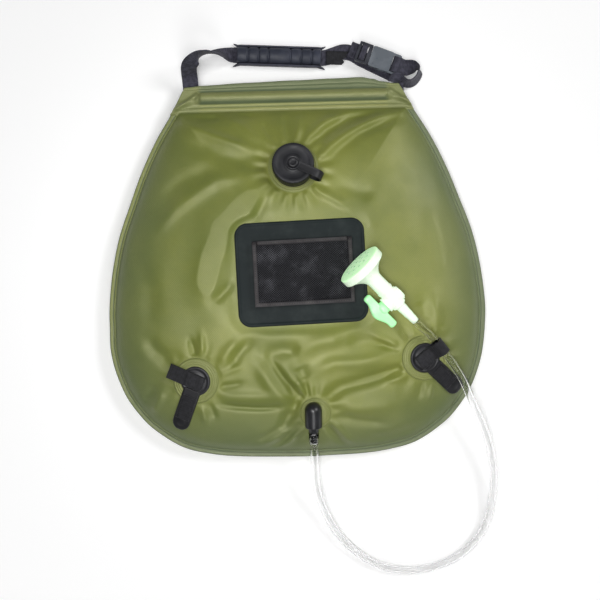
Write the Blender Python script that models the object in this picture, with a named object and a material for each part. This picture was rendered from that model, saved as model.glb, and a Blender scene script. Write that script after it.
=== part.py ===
"""Camp shower bag, lying on its back with the front up, as an assembly of separate solids.

Metres. +X is the bag's right side, +Y points to the handle, +Z up from the surface it lies on.
The origin is the middle of the object, hose left out, on that surface.
"""
import math

import bmesh
import bpy
from mathutils import Matrix, Vector
from mathutils.bvhtree import BVHTree

# Clearances
GAP = 0.0003
OVERRUN = 0.004

# Bag
BAG_WIDTH = 0.468
BAG_HEIGHT = 0.466
HANDLE_REACH = 0.058
PANEL_WALL = 0.0008
FLANGE_WIDTH = 0.0075
HEM_DEPTH = 0.030
SEAM_HEIGHT = 0.020
FRONT_RISE = 0.042
PUFF_CENTRE_SHARE = 0.5279
TOP_POINTS = 5
SIDE_POINTS = 21
SPLINE_STEPS = 12
PUFF_SHARPNESS = 4.0
PUFF_ROUNDNESS = 0.75
PUFF_RING_SHARES = (0.965, 0.90, 0.80, 0.64, 0.38)
REST_SHARE = 0.72
BACK_RING_SHARES = (0.985, 0.93, 0.84, 0.72)
# Half outline from the top corner to the bottom, as shares of the half width and of the height
OUTLINE_SHARES = (
    (0.570, 0.0), (0.627, 0.056), (0.730, 0.142), (0.812, 0.228), (0.877, 0.313), (0.938, 0.399),
    (0.976, 0.485), (0.997, 0.571), (1.0, 0.630), (0.975, 0.735), (0.915, 0.820), (0.846, 0.873),
    (0.765, 0.916), (0.611, 0.966), (0.453, 0.987), (0.300, 0.9955), (0.0, 1.0),
)

# Hem and spreader rod
ROD_RADIUS = 0.0058
ROD_DEPTH = 0.0125
SLEEVE_WALL = 0.0012
SLEEVE_LENGTH_SHARE = 0.5043
FOLD_HEIGHT = 0.0026
WELD_RIDGE = 0.0005
WELD_WIDTH = 0.0018
WELD_SHARES = (0.07, 0.20)
ROD_CHAMFER = 0.001

# Filler
FILLER_X = -0.0027
FILLER_DEPTH_SHARE = 0.22854
NECK_RADIUS = 0.021
NECK_WALL = 0.0025
NECK_HEIGHT = 0.0165
NECK_INSIDE = 0.005
NECK_FLANGE_RADIUS = 0.0245
NECK_FLANGE_TOP = 0.0036
THREAD_HEIGHT = 0.0011
THREAD_PITCH = 0.004
THREAD_RIDGES = 2
CAP_RADIUS = 0.0258
CAP_SKIRT_WALL = 0.0024
CAP_SKIRT_BOTTOM = 0.0066
CAP_TOP = 0.0215
CAP_PLATE = 0.003
GROOVE_DEPTH = 0.0005
GROOVE_WIDTH = 0.0024
SEAL_WIDTH = 0.0022
PATCH_THICKNESS = 0.0008
FILLER_PATCH_RADIUS = 0.031
HUB_STEM_RADIUS = 0.0036
HUB_HEAD_RADIUS = 0.0062
HUB_HEAD_HEIGHT = 0.0016
HUB_FLANGE_RADIUS = 0.0058
HUB_CROWN_SHARE = 0.7
EYE_RADIUS = 0.0088
TETHER_WIDTH = 0.0105
TETHER_THICKNESS = 0.0016
TETHER_REACH = 0.0385
TETHER_HEADING = -26.0
TETHER_STEPS = 8
RING_WIDTH = 0.0035

# Mesh pocket
POCKET_X = 0.0040
POCKET_DEPTH_SHARE = 0.50536
POCKET_WIDTH = 0.159
POCKET_LENGTH = 0.1275
POCKET_CORNER = 0.016
POCKET_TILT = 1.7
POCKET_RIM_WIDTH = 0.0035
POCKET_RIM_HEIGHT = 0.0008
NET_ASIDE = 0.0026
NET_RAISED = 0.0003
NET_WIDTH = 0.117
NET_LENGTH = 0.075
NET_STANDOFF = 0.0046
NET_THICKNESS = 0.0008
NET_STRAND = 0.0011
NET_DIAMOND_WIDTH = 0.0098
NET_DIAMOND_LENGTH = 0.0089
BINDING_WIDTH = 0.0055
BINDING_LIP = 0.0012
BINDING_LAP = 0.003

# Outlet
OUTLET_X = 0.0142
OUTLET_DEPTH_SHARE = 0.86588
ELBOW_RADIUS = 0.0105
ELBOW_LENGTH = 0.0215
ELBOW_AXIS_HEIGHT = 0.0072
ELBOW_STEPS = 5
OUTLET_STEM_RADIUS = 0.006
COLLAR_RADIUS = 0.0062
COLLAR_LENGTH = 0.006
BARB_RADIUS = 0.0042
BARB_RIDGE = 0.0009
BARB_LENGTH = 0.014
BARB_RIDGES = 3
BARB_FOOT_SHARE = 0.35
WATER_BORE = 0.0028
OUTLET_PATCH_RADIUS = 0.0195

# Hose
HOSE_RADIUS = 0.0048
HOSE_SAMPLES = 40
HOSE_LEAD = 0.0100
# Free stretch: across and along from the straight line between its ends, and height over the ground
HOSE_ARC = (
    (-0.0087, -0.0387, 0.0365), (-0.0161, -0.0750, 0.0245), (-0.0148, -0.1123, 0.0140),
    (-0.0059, -0.1476, 0.0080), (0.0100, -0.1769, 0.0056), (0.0295, -0.1972, 0.0052),
    (0.0514, -0.2070, 0.0052), (0.0734, -0.2089, 0.0052), (0.0928, -0.2022, 0.0056),
    (0.1078, -0.1865, 0.0066), (0.1132, -0.1648, 0.0088), (0.1101, -0.1391, 0.0125),
    (0.1011, -0.1134, 0.0175), (0.0870, -0.0897, 0.0235), (0.0687, -0.0671, 0.0296),
    (0.0469, -0.0444, 0.0370), (0.0244, -0.0197, 0.0475),
)
HOSE_TAB_PLACES = (-0.024, -0.012, 0.0, 0.012)
# Last stretch: on past the spigot's end, in the shower head's own frame
HOSE_END_PLACES = ((-0.0009, 0.0044, 0.0250), (0.0, 0.0, 0.0122), (0.0, 0.0, 0.0007))

# Shower head, measured from the front of its face along its own axis
HEAD_PLACE_SHARES = (0.30855, 0.48927)
HEAD_HEIGHT = 0.1026
HEAD_HEADING = -45.9
HEAD_DROP = 13.0
ROSE_RADIUS = 0.0290
ROSE_BAND = 0.0100
ROSE_PLATE = 0.0018
ROSE_DOME = 0.0028
DOME_STEPS = 5
HOLE_RADIUS = 0.0009
HOLE_SIDES = 6
HOLE_TURN_SHARE = 0.27
HOLE_COUNTS = (1, 6, 12)
HOLE_RING_SHARES = (0.0, 0.30, 0.58)
HEAD_WALL = 0.0020
BELL_LENGTH = 0.0290
BELL_STEPS = 4
BELL_POWER = 2
BELL_FOOT_SHARE = 0.93
PIPE_RADIUS = 0.0095
VALVE_PLACE = 0.0600
VALVE_BULGE = 0.0112
SPIGOT_START = 0.0735
SPIGOT_END = 0.1005
SPIGOT_RADII = (0.0062, 0.0045)
SPIGOT_RIDGE = 0.0005
SPIGOT_RIDGES = 3
PIPE_BORE = 0.0040
HOUSING_RADIUS = 0.0098
HOUSING_REACH = 0.0125
PLUG_RADIUS = 0.0068
PLUG_STUB_RADIUS = 0.0026
PLUG_STUB_LENGTH = 0.0022
RETAINER_RADIUS = 0.0080
RETAINER_THICKNESS = 0.0012
RETAINER_SETBACK = 0.0003
O_RING_RADIUS = 0.0008
O_RING_STEPS = 6
T_PLACE = 0.0212
T_LENGTH = 0.0500
T_END_SIZE = 0.0088
T_MIDDLE_SIZE = 0.0140
T_THICKNESS = 0.0100
T_STEM_RADIUS = 0.0078
T_STEPS = 8
T_BULGE_SHARE = 0.45
VALVE_SIDES = 18

# Hose tabs
TAB_SIDES = ("left", "right")
TAB_ACROSS_SHARES = (-0.55128, 0.65299)
TAB_DEPTH_SHARES = (0.78369, 0.73820)
TONGUE_HEADING = (246.9, -43.6)
STRAP_HEADING = (156.5, 38.0)
TONGUE_REACH = (0.0670, 0.0640)
TAB_PATCH_RADIUS = 0.0282
TAB_RADIUS = 0.0184
TAB_DISC_TOP = 0.0038
TAB_THICKNESS = 0.0022
TONGUE_WIDTH = 0.0220
TONGUE_STEPS = 10
STRIP_WIDTH = 0.0172
STRIP_THICKNESS = 0.0012
STRIP_START = 0.0215
STRIP_END_SETBACK = 0.0150
HOOK_WIDTH = 0.0188
HOOK_THICKNESS = 0.0014
HOOK_TAIL = 0.0110
LOOP_REACH = 0.0350
FLAP_PAD_LENGTH = 0.0225
FLAP_PAD_THICKNESS = 0.0012
FOLD_SHARE = 0.35
HOSE_PLACE = 0.0217
HOSE_CLEARANCE = 0.0013
FLAP_LAND = 0.0105
WRAP_ANGLE = 140
WRAP_STEPS = 8

# Handle webbing
WEB_WIDTH = 0.020
WEB_THICKNESS = 0.0014
STRAP_CLEARANCE = 0.001
STRAP_ROOT_LENGTH = 0.022
STRAP_LEAD = 0.006
STRAP_ARCH = 0.052
LEFT_STRAP_STEPS = 52
# Along, out, up and turn of the left strap, as shares of its reach, of the arch and of half a turn
LEFT_STRAP_SHARES = (
    (-0.03, 0.32, 0.60, 0.05), (-0.015, 0.50, 0.84, 0.12), (0.09, 0.64, 0.98, 0.24),
    (0.24, 0.765, 0.95, 0.40), (0.43, 0.875, 0.76, 0.55), (0.66, 0.955, 0.43, 0.74),
    (0.87, 0.99, 0.16, 0.93),
)
# Along, out, down and turn of the right strap, as shares of its bulge, reach and drop and of half a turn
RIGHT_STRAP_SHARES = (
    (0.0, 0.15, 0.0, 0.03), (0.036, 0.32, 0.15, 0.25), (0.134, 0.385, 0.40, 0.42),
    (0.33, 0.375, 0.80, 0.50), (0.66, 0.33, 1.0, 0.50), (0.895, 0.44, 1.0, 0.50),
    (1.0, 0.68, 1.0, 0.50), (0.925, 0.89, 1.0, 0.58), (0.66, 0.95, 1.0, 0.78),
)
RIGHT_STRAP_BULGE = 0.0335
RIGHT_STRAP_REACH = 0.0215
RIGHT_STRAP_STEPS = 50

# Grip
GRIP_X = -0.0170
GRIP_EDGE_REACH = 0.0168
GRIP_TILT = -3.3
GRIP_LENGTH = 0.116
GRIP_WIDTH = 0.027
GRIP_FLOOR = 0.0005
PAD_THICKNESS = 0.0024
PAD_RAIL = 0.0034
PAD_RAIL_WIDTH = 0.0026
PAD_HORN = 0.004
# Corner of the pad, as shares of the horn's length drawn in from the pad's end and side
HORN_SHARES = ((2.0, 3.375), (1.6, 1.0), (0.0, 0.0), (2.5, 0.25))
CORE_LENGTH = 0.106
CORE_WIDTH = 0.0198
CORE_HEIGHT = 0.0105
CORE_SIDE_SHARE = 0.35
CORE_STEPS = 8
BAND_SHARES = (0.118, 0.106, 0.094, 0.236, 0.106, 0.106, 0.094)
BAND_ROUND = 0.0006
BAND_GROOVE = 0.0018
BAND_GROOVE_DEPTH = 0.0012
GROOVE_WALL_SHARE = 0.2

# Buckle, measured along its axis from the mouth of its female half
BUCKLE_X_SETBACK = 0.0300
BUCKLE_Y_SETBACK = 0.0206
BUCKLE_HEADING = -21.5
BUCKLE_HEIGHT = 0.0125
BUCKLE_WIDTH = 0.026
BUCKLE_CORNER_STEPS = 3
FEMALE_LENGTH = 0.027
FEMALE_THICKNESS = 0.009
FEMALE_WALL = 0.0022
FEMALE_ROOF = 0.0017
FEMALE_CAVITY = 0.0235
WINDOW_START = 0.0105
WINDOW_LENGTH = 0.0105
FRAME_LENGTH = 0.0110
FRAME_THICKNESS = 0.0040
FRAME_BAR = 0.0036
FRAME_SIDE = 0.0026
FRAME_SHOULDER = 0.0010
MALE_LENGTH = 0.018
MALE_THICKNESS = 0.007
MALE_BAR = 0.0030
MALE_SLOT = 0.0035
MALE_FACE_GAP = 0.0003
TONGUE_GUIDE_LENGTH = 0.014
TONGUE_GUIDE_WIDTH = 0.0050
TONGUE_GUIDE_THICKNESS = 0.0030
PRONG_THICKNESS = 0.0042
PRONG_ROOT_RADIUS = 0.0015
PRONG_ROOT_PLACE = 0.0067
PRONG_LENGTH = 0.0192
PRONG_STEPS = 6
# Prong's outline after its round root: along its length and across, as shares of its length
PRONG_SHARES = (
    (0.47, -0.005), (0.94, 0.047), (1.0, 0.099), (0.964, 0.182), (0.60, 0.323), (0.515, 0.315),
    (0.50, 0.13),
)
ADJUSTER_TAIL = 0.010
# Along and across the buckle for the webbing's end under it, as shares of the buckle's width
TAIL_SHARES = ((-1.15, -0.15), (-0.35, -0.23), (0.38, -0.31), (1.04, -0.37))
TAIL_DROP = 0.0051
FRAYED_LENGTH = 0.026
FRAYED_WIDTH = 0.017
FRAYED_POINT_SHARES = (-0.5, -0.22, -0.42, 0.0, -0.1, 0.5)

# Number of sides
ROUND_SIDES = 26
ELBOW_SIDES = 20
SMALL_SIDES = 16

TOP_Y = (BAG_HEIGHT - HANDLE_REACH) / 2
HANDLE_TOP = TOP_Y + HANDLE_REACH
PUFF_CENTRE = Vector((0, TOP_Y - BAG_HEIGHT * PUFF_CENTRE_SHARE))
FRONT_FLANGE_TOP = SEAM_HEIGHT + GAP / 2 + PANEL_WALL
BACK_FLANGE_BOTTOM = SEAM_HEIGHT - GAP / 2 - PANEL_WALL
HEM_LINE = TOP_Y - HEM_DEPTH
PATCH_TOP = GAP + PATCH_THICKNESS
SLEEVE_LENGTH = BAG_WIDTH * SLEEVE_LENGTH_SHARE
STRAP_SPREAD = SLEEVE_LENGTH / 2 + STRAP_CLEARANCE + WEB_WIDTH / 2
STRAP_HINGE_Y = TOP_Y + WEB_THICKNESS
STRAP_HINGE_Z = BACK_FLANGE_BOTTOM - GAP - WEB_THICKNESS / 2
SLEEVE_RADIUS = ROD_RADIUS + GAP + SLEEVE_WALL
ROD_Y = TOP_Y - ROD_DEPTH
ROD_Z = FRONT_FLANGE_TOP + SLEEVE_WALL / 2
WEB_LEVEL = PAD_THICKNESS + GAP + WEB_THICKNESS / 2
HOSE_TAB_HEIGHT = TAB_DISC_TOP + GAP * 2 + HOOK_THICKNESS + HOSE_RADIUS

FINISHES = {
    "olive": ((0.20, 0.22, 0.09, 1), 0.55),
    "olive_weld": ((0.26, 0.28, 0.13, 1), 0.45),
    "black_patch": ((0.03, 0.031, 0.034, 1), 0.5),
    "net": ((0.015, 0.015, 0.016, 1), 0.8),
    "black_plastic": ((0.035, 0.036, 0.038, 1), 0.42),
    "buckle_plastic": ((0.05, 0.055, 0.065, 1), 0.4),
    "rubber": ((0.03, 0.032, 0.034, 1), 0.35),
    "webbing": ((0.03, 0.03, 0.035, 1), 0.85),
    "hook_tape": ((0.035, 0.034, 0.036, 1), 0.9),
    "pale_plastic": ((0.85, 0.95, 0.78, 1), 0.35),
    "mint_plastic": ((0.55, 0.90, 0.52, 1), 0.35),
    "clear_hose": ((0.75, 0.78, 0.70, 1), 0.12),
    "seal": ((0.05, 0.05, 0.05, 1), 0.6),
    "rod": ((0.70, 0.70, 0.68, 1), 0.5),
}


# Objects and materials


def clear_scene():
    for thing in list(bpy.data.objects):
        bpy.data.objects.remove(thing)


def finish_named(name):
    material = bpy.data.materials.get(name)
    if material:
        return material
    colour, roughness = FINISHES[name]
    material = bpy.data.materials.new(name)
    material.use_nodes = True
    shader = material.node_tree.nodes["Principled BSDF"]
    shader.inputs["Base Color"].default_value = colour
    shader.inputs["Roughness"].default_value = roughness
    shader.inputs["Metallic"].default_value = 0
    return material


def add_object(name, mesh, finish=None, parent=None):
    piece = bpy.data.objects.new(name, mesh)
    bpy.context.scene.collection.objects.link(piece)
    piece.parent = parent
    if finish:
        mesh.materials.append(finish_named(finish))
        mesh.shade_smooth()
        mesh.set_sharp_from_angle(angle=math.radians(35))
    else:
        piece.hide_render = True
        piece.display_type = "WIRE"
    return piece


def solid(name, points, faces, finish=None, parent=None):
    mesh = bpy.data.meshes.new(name)
    mesh.from_pydata([tuple(point) for point in points], [], faces)
    shape = bmesh.new()
    shape.from_mesh(mesh)
    bmesh.ops.recalc_face_normals(shape, faces=shape.faces)
    shape.to_mesh(mesh)
    shape.free()
    return add_object(name, mesh, finish, parent)


def axis_empty(name, matrix, parent=None):
    empty = bpy.data.objects.new(name, None)
    bpy.context.scene.collection.objects.link(empty)
    empty.empty_display_size = ROD_RADIUS
    empty.parent = parent
    empty.matrix_basis = matrix
    bpy.context.view_layer.update()
    return empty


def boolean(piece, other, operation):
    modifier = piece.modifiers.new(operation.lower(), "BOOLEAN")
    modifier.operation = operation
    modifier.solver = "EXACT"
    modifier.object = other


def cut(piece, *cutters):
    for cutter in cutters:
        boolean(piece, cutter, "DIFFERENCE")
    return piece


def keep_inside(piece, other):
    boolean(piece, other, "INTERSECT")
    return piece


def unite(piece, *others):
    for other in others:
        boolean(piece, other, "UNION")
    return piece


# Shapes


def loft(name, rings, finish=None, parent=None):
    """A closed solid through rings of as many points each, with flat ends."""
    count = len(rings[0])
    points = [point for ring in rings for point in ring]
    faces = [tuple(range(count)), tuple(range(len(points) - count, len(points)))]
    for row in range(len(rings) - 1):
        for index in range(count):
            after = (index + 1) % count
            low, high = row * count, (row + 1) * count
            faces.append((low + index, low + after, high + after, high + index))
    return solid(name, points, faces, finish, parent)


def prism(name, outline, low, high, finish=None, parent=None):
    rings = [[Vector((x, y, level)) for x, y in outline] for level in (low, high)]
    return loft(name, rings, finish, parent)


def block(name, low, high, finish=None, parent=None):
    outline = ((low[0], low[1]), (high[0], low[1]), (high[0], high[1]), (low[0], high[1]))
    return prism(name, outline, low[2], high[2], finish, parent)


def circle(radius, sides, centre=(0, 0)):
    angles = [2 * math.pi * index / sides for index in range(sides)]
    return [(centre[0] + radius * math.cos(a), centre[1] + radius * math.sin(a)) for a in angles]


def rounded_rectangle(width, length, corner, steps=5):
    outline = []
    corners = ((1, 1, 0), (-1, 1, 90), (-1, -1, 180), (1, -1, 270))
    for side_x, side_y, start in corners:
        centre_x = side_x * (width / 2 - corner)
        centre_y = side_y * (length / 2 - corner)
        for step in range(steps + 1):
            angle = math.radians(start + 90 * step / steps)
            outline.append((centre_x + corner * math.cos(angle), centre_y + corner * math.sin(angle)))
    return outline


def turned(name, profile, finish=None, parent=None, sides=ROUND_SIDES):
    """A solid turned about local Z from a closed profile of (radius, height)."""
    points, rows = [], []
    for radius, height in profile:
        if radius == 0:
            rows.append([len(points)] * sides)
            points.append(Vector((0, 0, height)))
            continue
        rows.append(list(range(len(points), len(points) + sides)))
        points += [Vector((x, y, height)) for x, y in circle(radius, sides)]
    faces = []
    for row, (first, second) in enumerate(zip(rows, rows[1:] + rows[:1])):
        if profile[row][0] == 0 and profile[(row + 1) % len(profile)][0] == 0:
            continue
        for index in range(sides):
            after = (index + 1) % sides
            corners = [first[index], first[after], second[after], second[index]]
            faces.append(tuple(dict.fromkeys(corners)))
    return solid(name, points, faces, finish, parent)


def cylinder(name, radius, low, high, finish=None, parent=None, sides=ROUND_SIDES):
    return prism(name, circle(radius, sides), low, high, finish, parent)


def offset_line(path, thickness):
    """The outline of a band of even thickness along a flat path."""
    left, right = [], []
    for index, point in enumerate(path):
        before = path[max(index - 1, 0)]
        after = path[min(index + 1, len(path) - 1)]
        along = (Vector(after) - Vector(before)).normalized()
        across = Vector((-along.y, along.x)) * thickness / 2
        left.append(Vector(point) + across)
        right.append(Vector(point) - across)
    return left + right[::-1]


def ribbon(name, centres, sides, width, thickness, finish=None, parent=None):
    """Webbing of a flat section along centres, with sides the direction of its width."""
    rings = []
    for index, centre in enumerate(centres):
        before = centres[max(index - 1, 0)]
        after = centres[min(index + 1, len(centres) - 1)]
        along = (after - before).normalized()
        across = (sides[index] - along * sides[index].dot(along)).normalized()
        lift = across.cross(along) * thickness / 2
        across = across * width / 2
        rings.append([centre + across + lift, centre - across + lift, centre - across - lift,
                      centre + across - lift])
    return loft(name, rings, finish, parent)


def smooth_path(points, steps):
    """Evenly many points on a smooth curve through the given ones."""
    slopes = []
    for index, point in enumerate(points):
        before = points[max(index - 1, 0)]
        after = points[min(index + 1, len(points) - 1)]
        slopes.append(((after - point).normalized() + (point - before).normalized()).normalized())
    dense = []
    for start, end, first, last in zip(points, points[1:], slopes, slopes[1:]):
        length = (end - start).length
        for step in range(SPLINE_STEPS):
            t = step / SPLINE_STEPS
            dense.append(start * (1 + 2 * t) * (1 - t) ** 2 + first * length * t * (1 - t) ** 2
                         + end * t * t * (3 - 2 * t) - last * length * t * t * (1 - t))
    dense.append(points[-1].copy())
    return even_points(dense, steps)


def even_points(path, steps):
    lengths = [0]
    for before, after in zip(path, path[1:]):
        lengths.append(lengths[-1] + (after - before).length)
    result, place = [], 0
    for step in range(steps + 1):
        goal = lengths[-1] * step / steps
        while place < len(path) - 2 and lengths[place + 1] < goal:
            place += 1
        span = lengths[place + 1] - lengths[place]
        result.append(path[place].lerp(path[place + 1], (goal - lengths[place]) / span))
    return result


# Outline of the bag and the puffed front


def side_curve():
    corners = [Vector((x * BAG_WIDTH / 2, TOP_Y - y * BAG_HEIGHT)) for x, y in OUTLINE_SHARES]
    return smooth_path(corners, len(corners) * SPLINE_STEPS)


def whole_ring(half):
    """A closed ring from its right half, which runs from the top middle to the bottom middle."""
    return half + [Vector((-point.x, point.y)) for point in half[-2:0:-1]]


def half_ring(side, top):
    corner = side[0]
    top_edge = [Vector((corner.x * step / TOP_POINTS, top)) for step in range(TOP_POINTS)]
    return top_edge + even_points(side, SIDE_POINTS)


def outer_ring():
    return whole_ring(half_ring(side_curve(), TOP_Y))


def weld_ring():
    """The edge of the water chamber: the outline drawn in by the flange and cut off by the hem."""
    side = side_curve()
    inner = []
    for before, point, after in zip(side, side[1:], side[2:]):
        along = (after - before).normalized()
        inner.append(point + Vector((along.y, -along.x)) * FLANGE_WIDTH)
    inner = [point for point in inner if point.y < HEM_LINE and point.x > 0]
    first = Vector((inner[0].x, HEM_LINE))
    last = Vector((0, inner[-1].y))
    return whole_ring(half_ring([first] + inner + [last], HEM_LINE))


def scaled(ring, share):
    return [PUFF_CENTRE + (point - PUFF_CENTRE) * share for point in ring]


def front_level(share):
    return FRONT_FLANGE_TOP + FRONT_RISE * (1 - share ** PUFF_SHARPNESS) ** PUFF_ROUNDNESS


def back_level(share):
    """Flat where the bag rests, then a quarter of an ellipse up to the seam."""
    climb = max(0, (share - REST_SHARE) / (1 - REST_SHARE))
    return BACK_FLANGE_BOTTOM * (1 - math.sqrt(1 - climb ** 2))


def panel_skin(level, shares):
    """Points and faces of one panel's outside, from the outer ring to its middle."""
    weld = weld_ring()
    rings = [(outer_ring(), level(1)), (weld, level(1))]
    rings += [(scaled(weld, share), level(share)) for share in shares]
    count = len(weld)
    points = [Vector((point.x, point.y, height)) for ring, height in rings for point in ring]
    points.append(Vector((PUFF_CENTRE.x, PUFF_CENTRE.y, level(0))))
    faces = []
    for row in range(len(rings) - 1):
        for index in range(count):
            after = (index + 1) % count
            low, high = row * count, (row + 1) * count
            faces.append((low + index, low + after, high + after, high + index))
    last = (len(rings) - 1) * count
    for index in range(count):
        faces.append((last + index, last + (index + 1) % count, len(points) - 1))
    return points, faces


def skin_normals(points, faces):
    normals = [Vector() for _ in points]
    for face in faces:
        a, b, c = (points[index] for index in face[:3])
        normal = (b - a).cross(c - a)
        for index in face:
            normals[index] += normal
    return [normal.normalized() for normal in normals]


def panel(name, level, shares, side):
    """A sheet of even wall; side is 1 where its outside faces up and -1 where it faces down."""
    points, faces = panel_skin(level, shares)
    normals = skin_normals(points, faces)
    count = len(outer_ring())
    total = len(points)
    inner = [point - normal * PANEL_WALL * math.copysign(1, normal.z) * side
             for point, normal in zip(points, normals)]
    faces = faces + [tuple(index + total for index in face) for face in faces]
    for index in range(count):
        after = (index + 1) % count
        faces.append((index, after, after + total, index + total))
    return solid(name, points + inner, faces, "olive")


def front_tree():
    points, faces = panel_skin(front_level, PUFF_RING_SHARES)
    return BVHTree.FromPolygons(points, faces)


GROUNDS = {}


def ground(lift):
    """All that lies below the front panel's outside raised by lift, as a tool for fitting pieces."""
    if lift in GROUNDS:
        return GROUNDS[lift]
    points, faces = panel_skin(front_level, PUFF_RING_SHARES)
    normals = skin_normals(points, faces)
    raised = [point + normal * lift * math.copysign(1, normal.z) for point, normal in zip(points, normals)]
    count = len(outer_ring())
    total = len(points)
    base = [Vector((point.x, point.y, -OVERRUN)) for point in points[:count]]
    faces = list(faces)
    for index in range(count):
        after = (index + 1) % count
        faces.append((index, after, after + total, index + total))
    faces.append(tuple(range(total, total + count)))
    GROUNDS[lift] = solid("below_front_" + str(len(GROUNDS)), raised + base, faces)
    return GROUNDS[lift]


def front_place(tree, x, y, heading, reach):
    """A frame on the front panel: Z along its slope's normal, X along the heading."""
    spots = []
    for step in range(8):
        angle = math.radians(45 * step)
        spot = Vector((x + reach * math.cos(angle), y + reach * math.sin(angle), BAG_WIDTH))
        spots.append(tree.ray_cast(spot, Vector((0, 0, -1)))[0])
    normal = Vector()
    for before, after in zip(spots, spots[2:] + spots[:2]):
        middle = sum(spots, Vector()) / len(spots)
        normal += (before - middle).cross(after - middle)
    normal.normalize()
    origin = tree.ray_cast(Vector((x, y, BAG_WIDTH)), Vector((0, 0, -1)))[0]
    angle = math.radians(heading)
    along = Vector((math.cos(angle), math.sin(angle), 0))
    along = (along - normal * along.dot(normal)).normalized()
    across = normal.cross(along)
    matrix = Matrix((along, across, normal)).transposed().to_4x4()
    matrix.translation = origin
    return matrix


def fitted(piece, low_lift, high_lift=None):
    """Cuts a piece to lie low_lift over the front panel, and as thick as high_lift leaves it."""
    cut(piece, ground(low_lift))
    if high_lift:
        keep_inside(piece, ground(high_lift))
    return piece


# Bag


def make_panels(holes):
    front = panel("front_panel", front_level, PUFF_RING_SHARES, 1)
    back = panel("back_panel", back_level, BACK_RING_SHARES, -1)
    half = SLEEVE_LENGTH / 2 + GAP
    notch_low = ROD_Y - SLEEVE_RADIUS - GAP
    notch = block("hem_notch", (-half, notch_low, -OVERRUN), (half, TOP_Y + OVERRUN, SEAM_HEIGHT + OVERRUN))
    cut(front, notch)
    cut(back, notch)
    for name, frame, radius in holes:
        cut(front, cylinder(name + "_hole", radius, -NECK_HEIGHT, NECK_HEIGHT, parent=frame))


def make_hem():
    """A sleeve round the rod, with a tail welded over the front panel and a fold along the top."""
    turn = Matrix.Translation((0, ROD_Y, ROD_Z)) @ Matrix.Rotation(math.radians(90), 4, "Y")
    rod_axis = axis_empty("rod_axis", turn)
    half = SLEEVE_LENGTH / 2
    sleeve = cylinder("rod_sleeve", SLEEVE_RADIUS, -half, half, "olive", rod_axis)
    tail_low = FRONT_FLANGE_TOP + GAP
    tail_high = tail_low + SLEEVE_WALL
    tail = block("sleeve_tail", (-half, HEM_LINE, tail_low), (half, ROD_Y, tail_high))
    fold = block("sleeve_fold", (-half, ROD_Y, ROD_Z - FOLD_HEIGHT / 2),
                 (half, TOP_Y, ROD_Z + FOLD_HEIGHT / 2))
    unite(sleeve, tail, fold)
    for number, share in enumerate(WELD_SHARES):
        middle = HEM_LINE + HEM_DEPTH * share
        rings = [[Vector((x, middle - WELD_WIDTH / 2, tail_low + WELD_RIDGE)),
                  Vector((x, middle - WELD_WIDTH / 2, tail_high)),
                  Vector((x, middle, tail_high + WELD_RIDGE)),
                  Vector((x, middle + WELD_WIDTH / 2, tail_high)),
                  Vector((x, middle + WELD_WIDTH / 2, tail_low + WELD_RIDGE))]
                 for x in (WELD_RIDGE - half, half - WELD_RIDGE)]
        unite(sleeve, loft("weld_ridge_" + str(number), rings))
    cut(sleeve, cylinder("rod_bore", ROD_RADIUS + GAP, -half - OVERRUN, half + OVERRUN, parent=rod_axis,
                         sides=SMALL_SIDES))
    length = SLEEVE_LENGTH / 2
    shoulder = ROD_RADIUS - ROD_CHAMFER
    profile = ((0, -length), (shoulder, -length), (ROD_RADIUS, ROD_CHAMFER - length),
               (ROD_RADIUS, length - ROD_CHAMFER), (shoulder, length), (0, length))
    turned("spreader_rod", profile, "rod", rod_axis, SMALL_SIDES)


# Filler


def make_filler(frame):
    patch = cylinder("filler_patch", FILLER_PATCH_RADIUS, -NECK_HEIGHT, NECK_HEIGHT, "olive_weld", frame)
    bore = cylinder("filler_patch_bore", NECK_RADIUS + GAP, -NECK_HEIGHT - OVERRUN, NECK_HEIGHT + OVERRUN,
                    parent=frame)
    fitted(cut(patch, bore), GAP, PATCH_TOP)
    make_neck(frame)
    lift = axis_empty("cap_lift_axis", Matrix.Identity(4), frame)
    make_cap(lift)
    make_hub(lift)
    make_tether(frame)


def make_neck(frame):
    inside = NECK_RADIUS - NECK_WALL
    profile = [(inside, -NECK_INSIDE), (NECK_RADIUS, -NECK_INSIDE), (NECK_RADIUS, NECK_FLANGE_TOP)]
    for ridge in range(THREAD_RIDGES):
        middle = NECK_FLANGE_TOP + THREAD_PITCH * (ridge + 1)
        profile += [(NECK_RADIUS, middle - THREAD_HEIGHT), (NECK_RADIUS + THREAD_HEIGHT, middle),
                    (NECK_RADIUS, middle + THREAD_HEIGHT)]
    profile += [(NECK_RADIUS, NECK_HEIGHT), (inside, NECK_HEIGHT)]
    neck = turned("filler_neck", profile, "black_plastic", frame)
    flange = cylinder("neck_flange", NECK_FLANGE_RADIUS, -NECK_INSIDE, NECK_FLANGE_TOP, parent=frame)
    fitted(flange, PATCH_TOP + GAP)
    bore = cylinder("neck_bore", inside + NECK_WALL / 2, -NECK_HEIGHT, NECK_HEIGHT, parent=frame)
    cut(flange, bore)
    unite(neck, flange)


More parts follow.
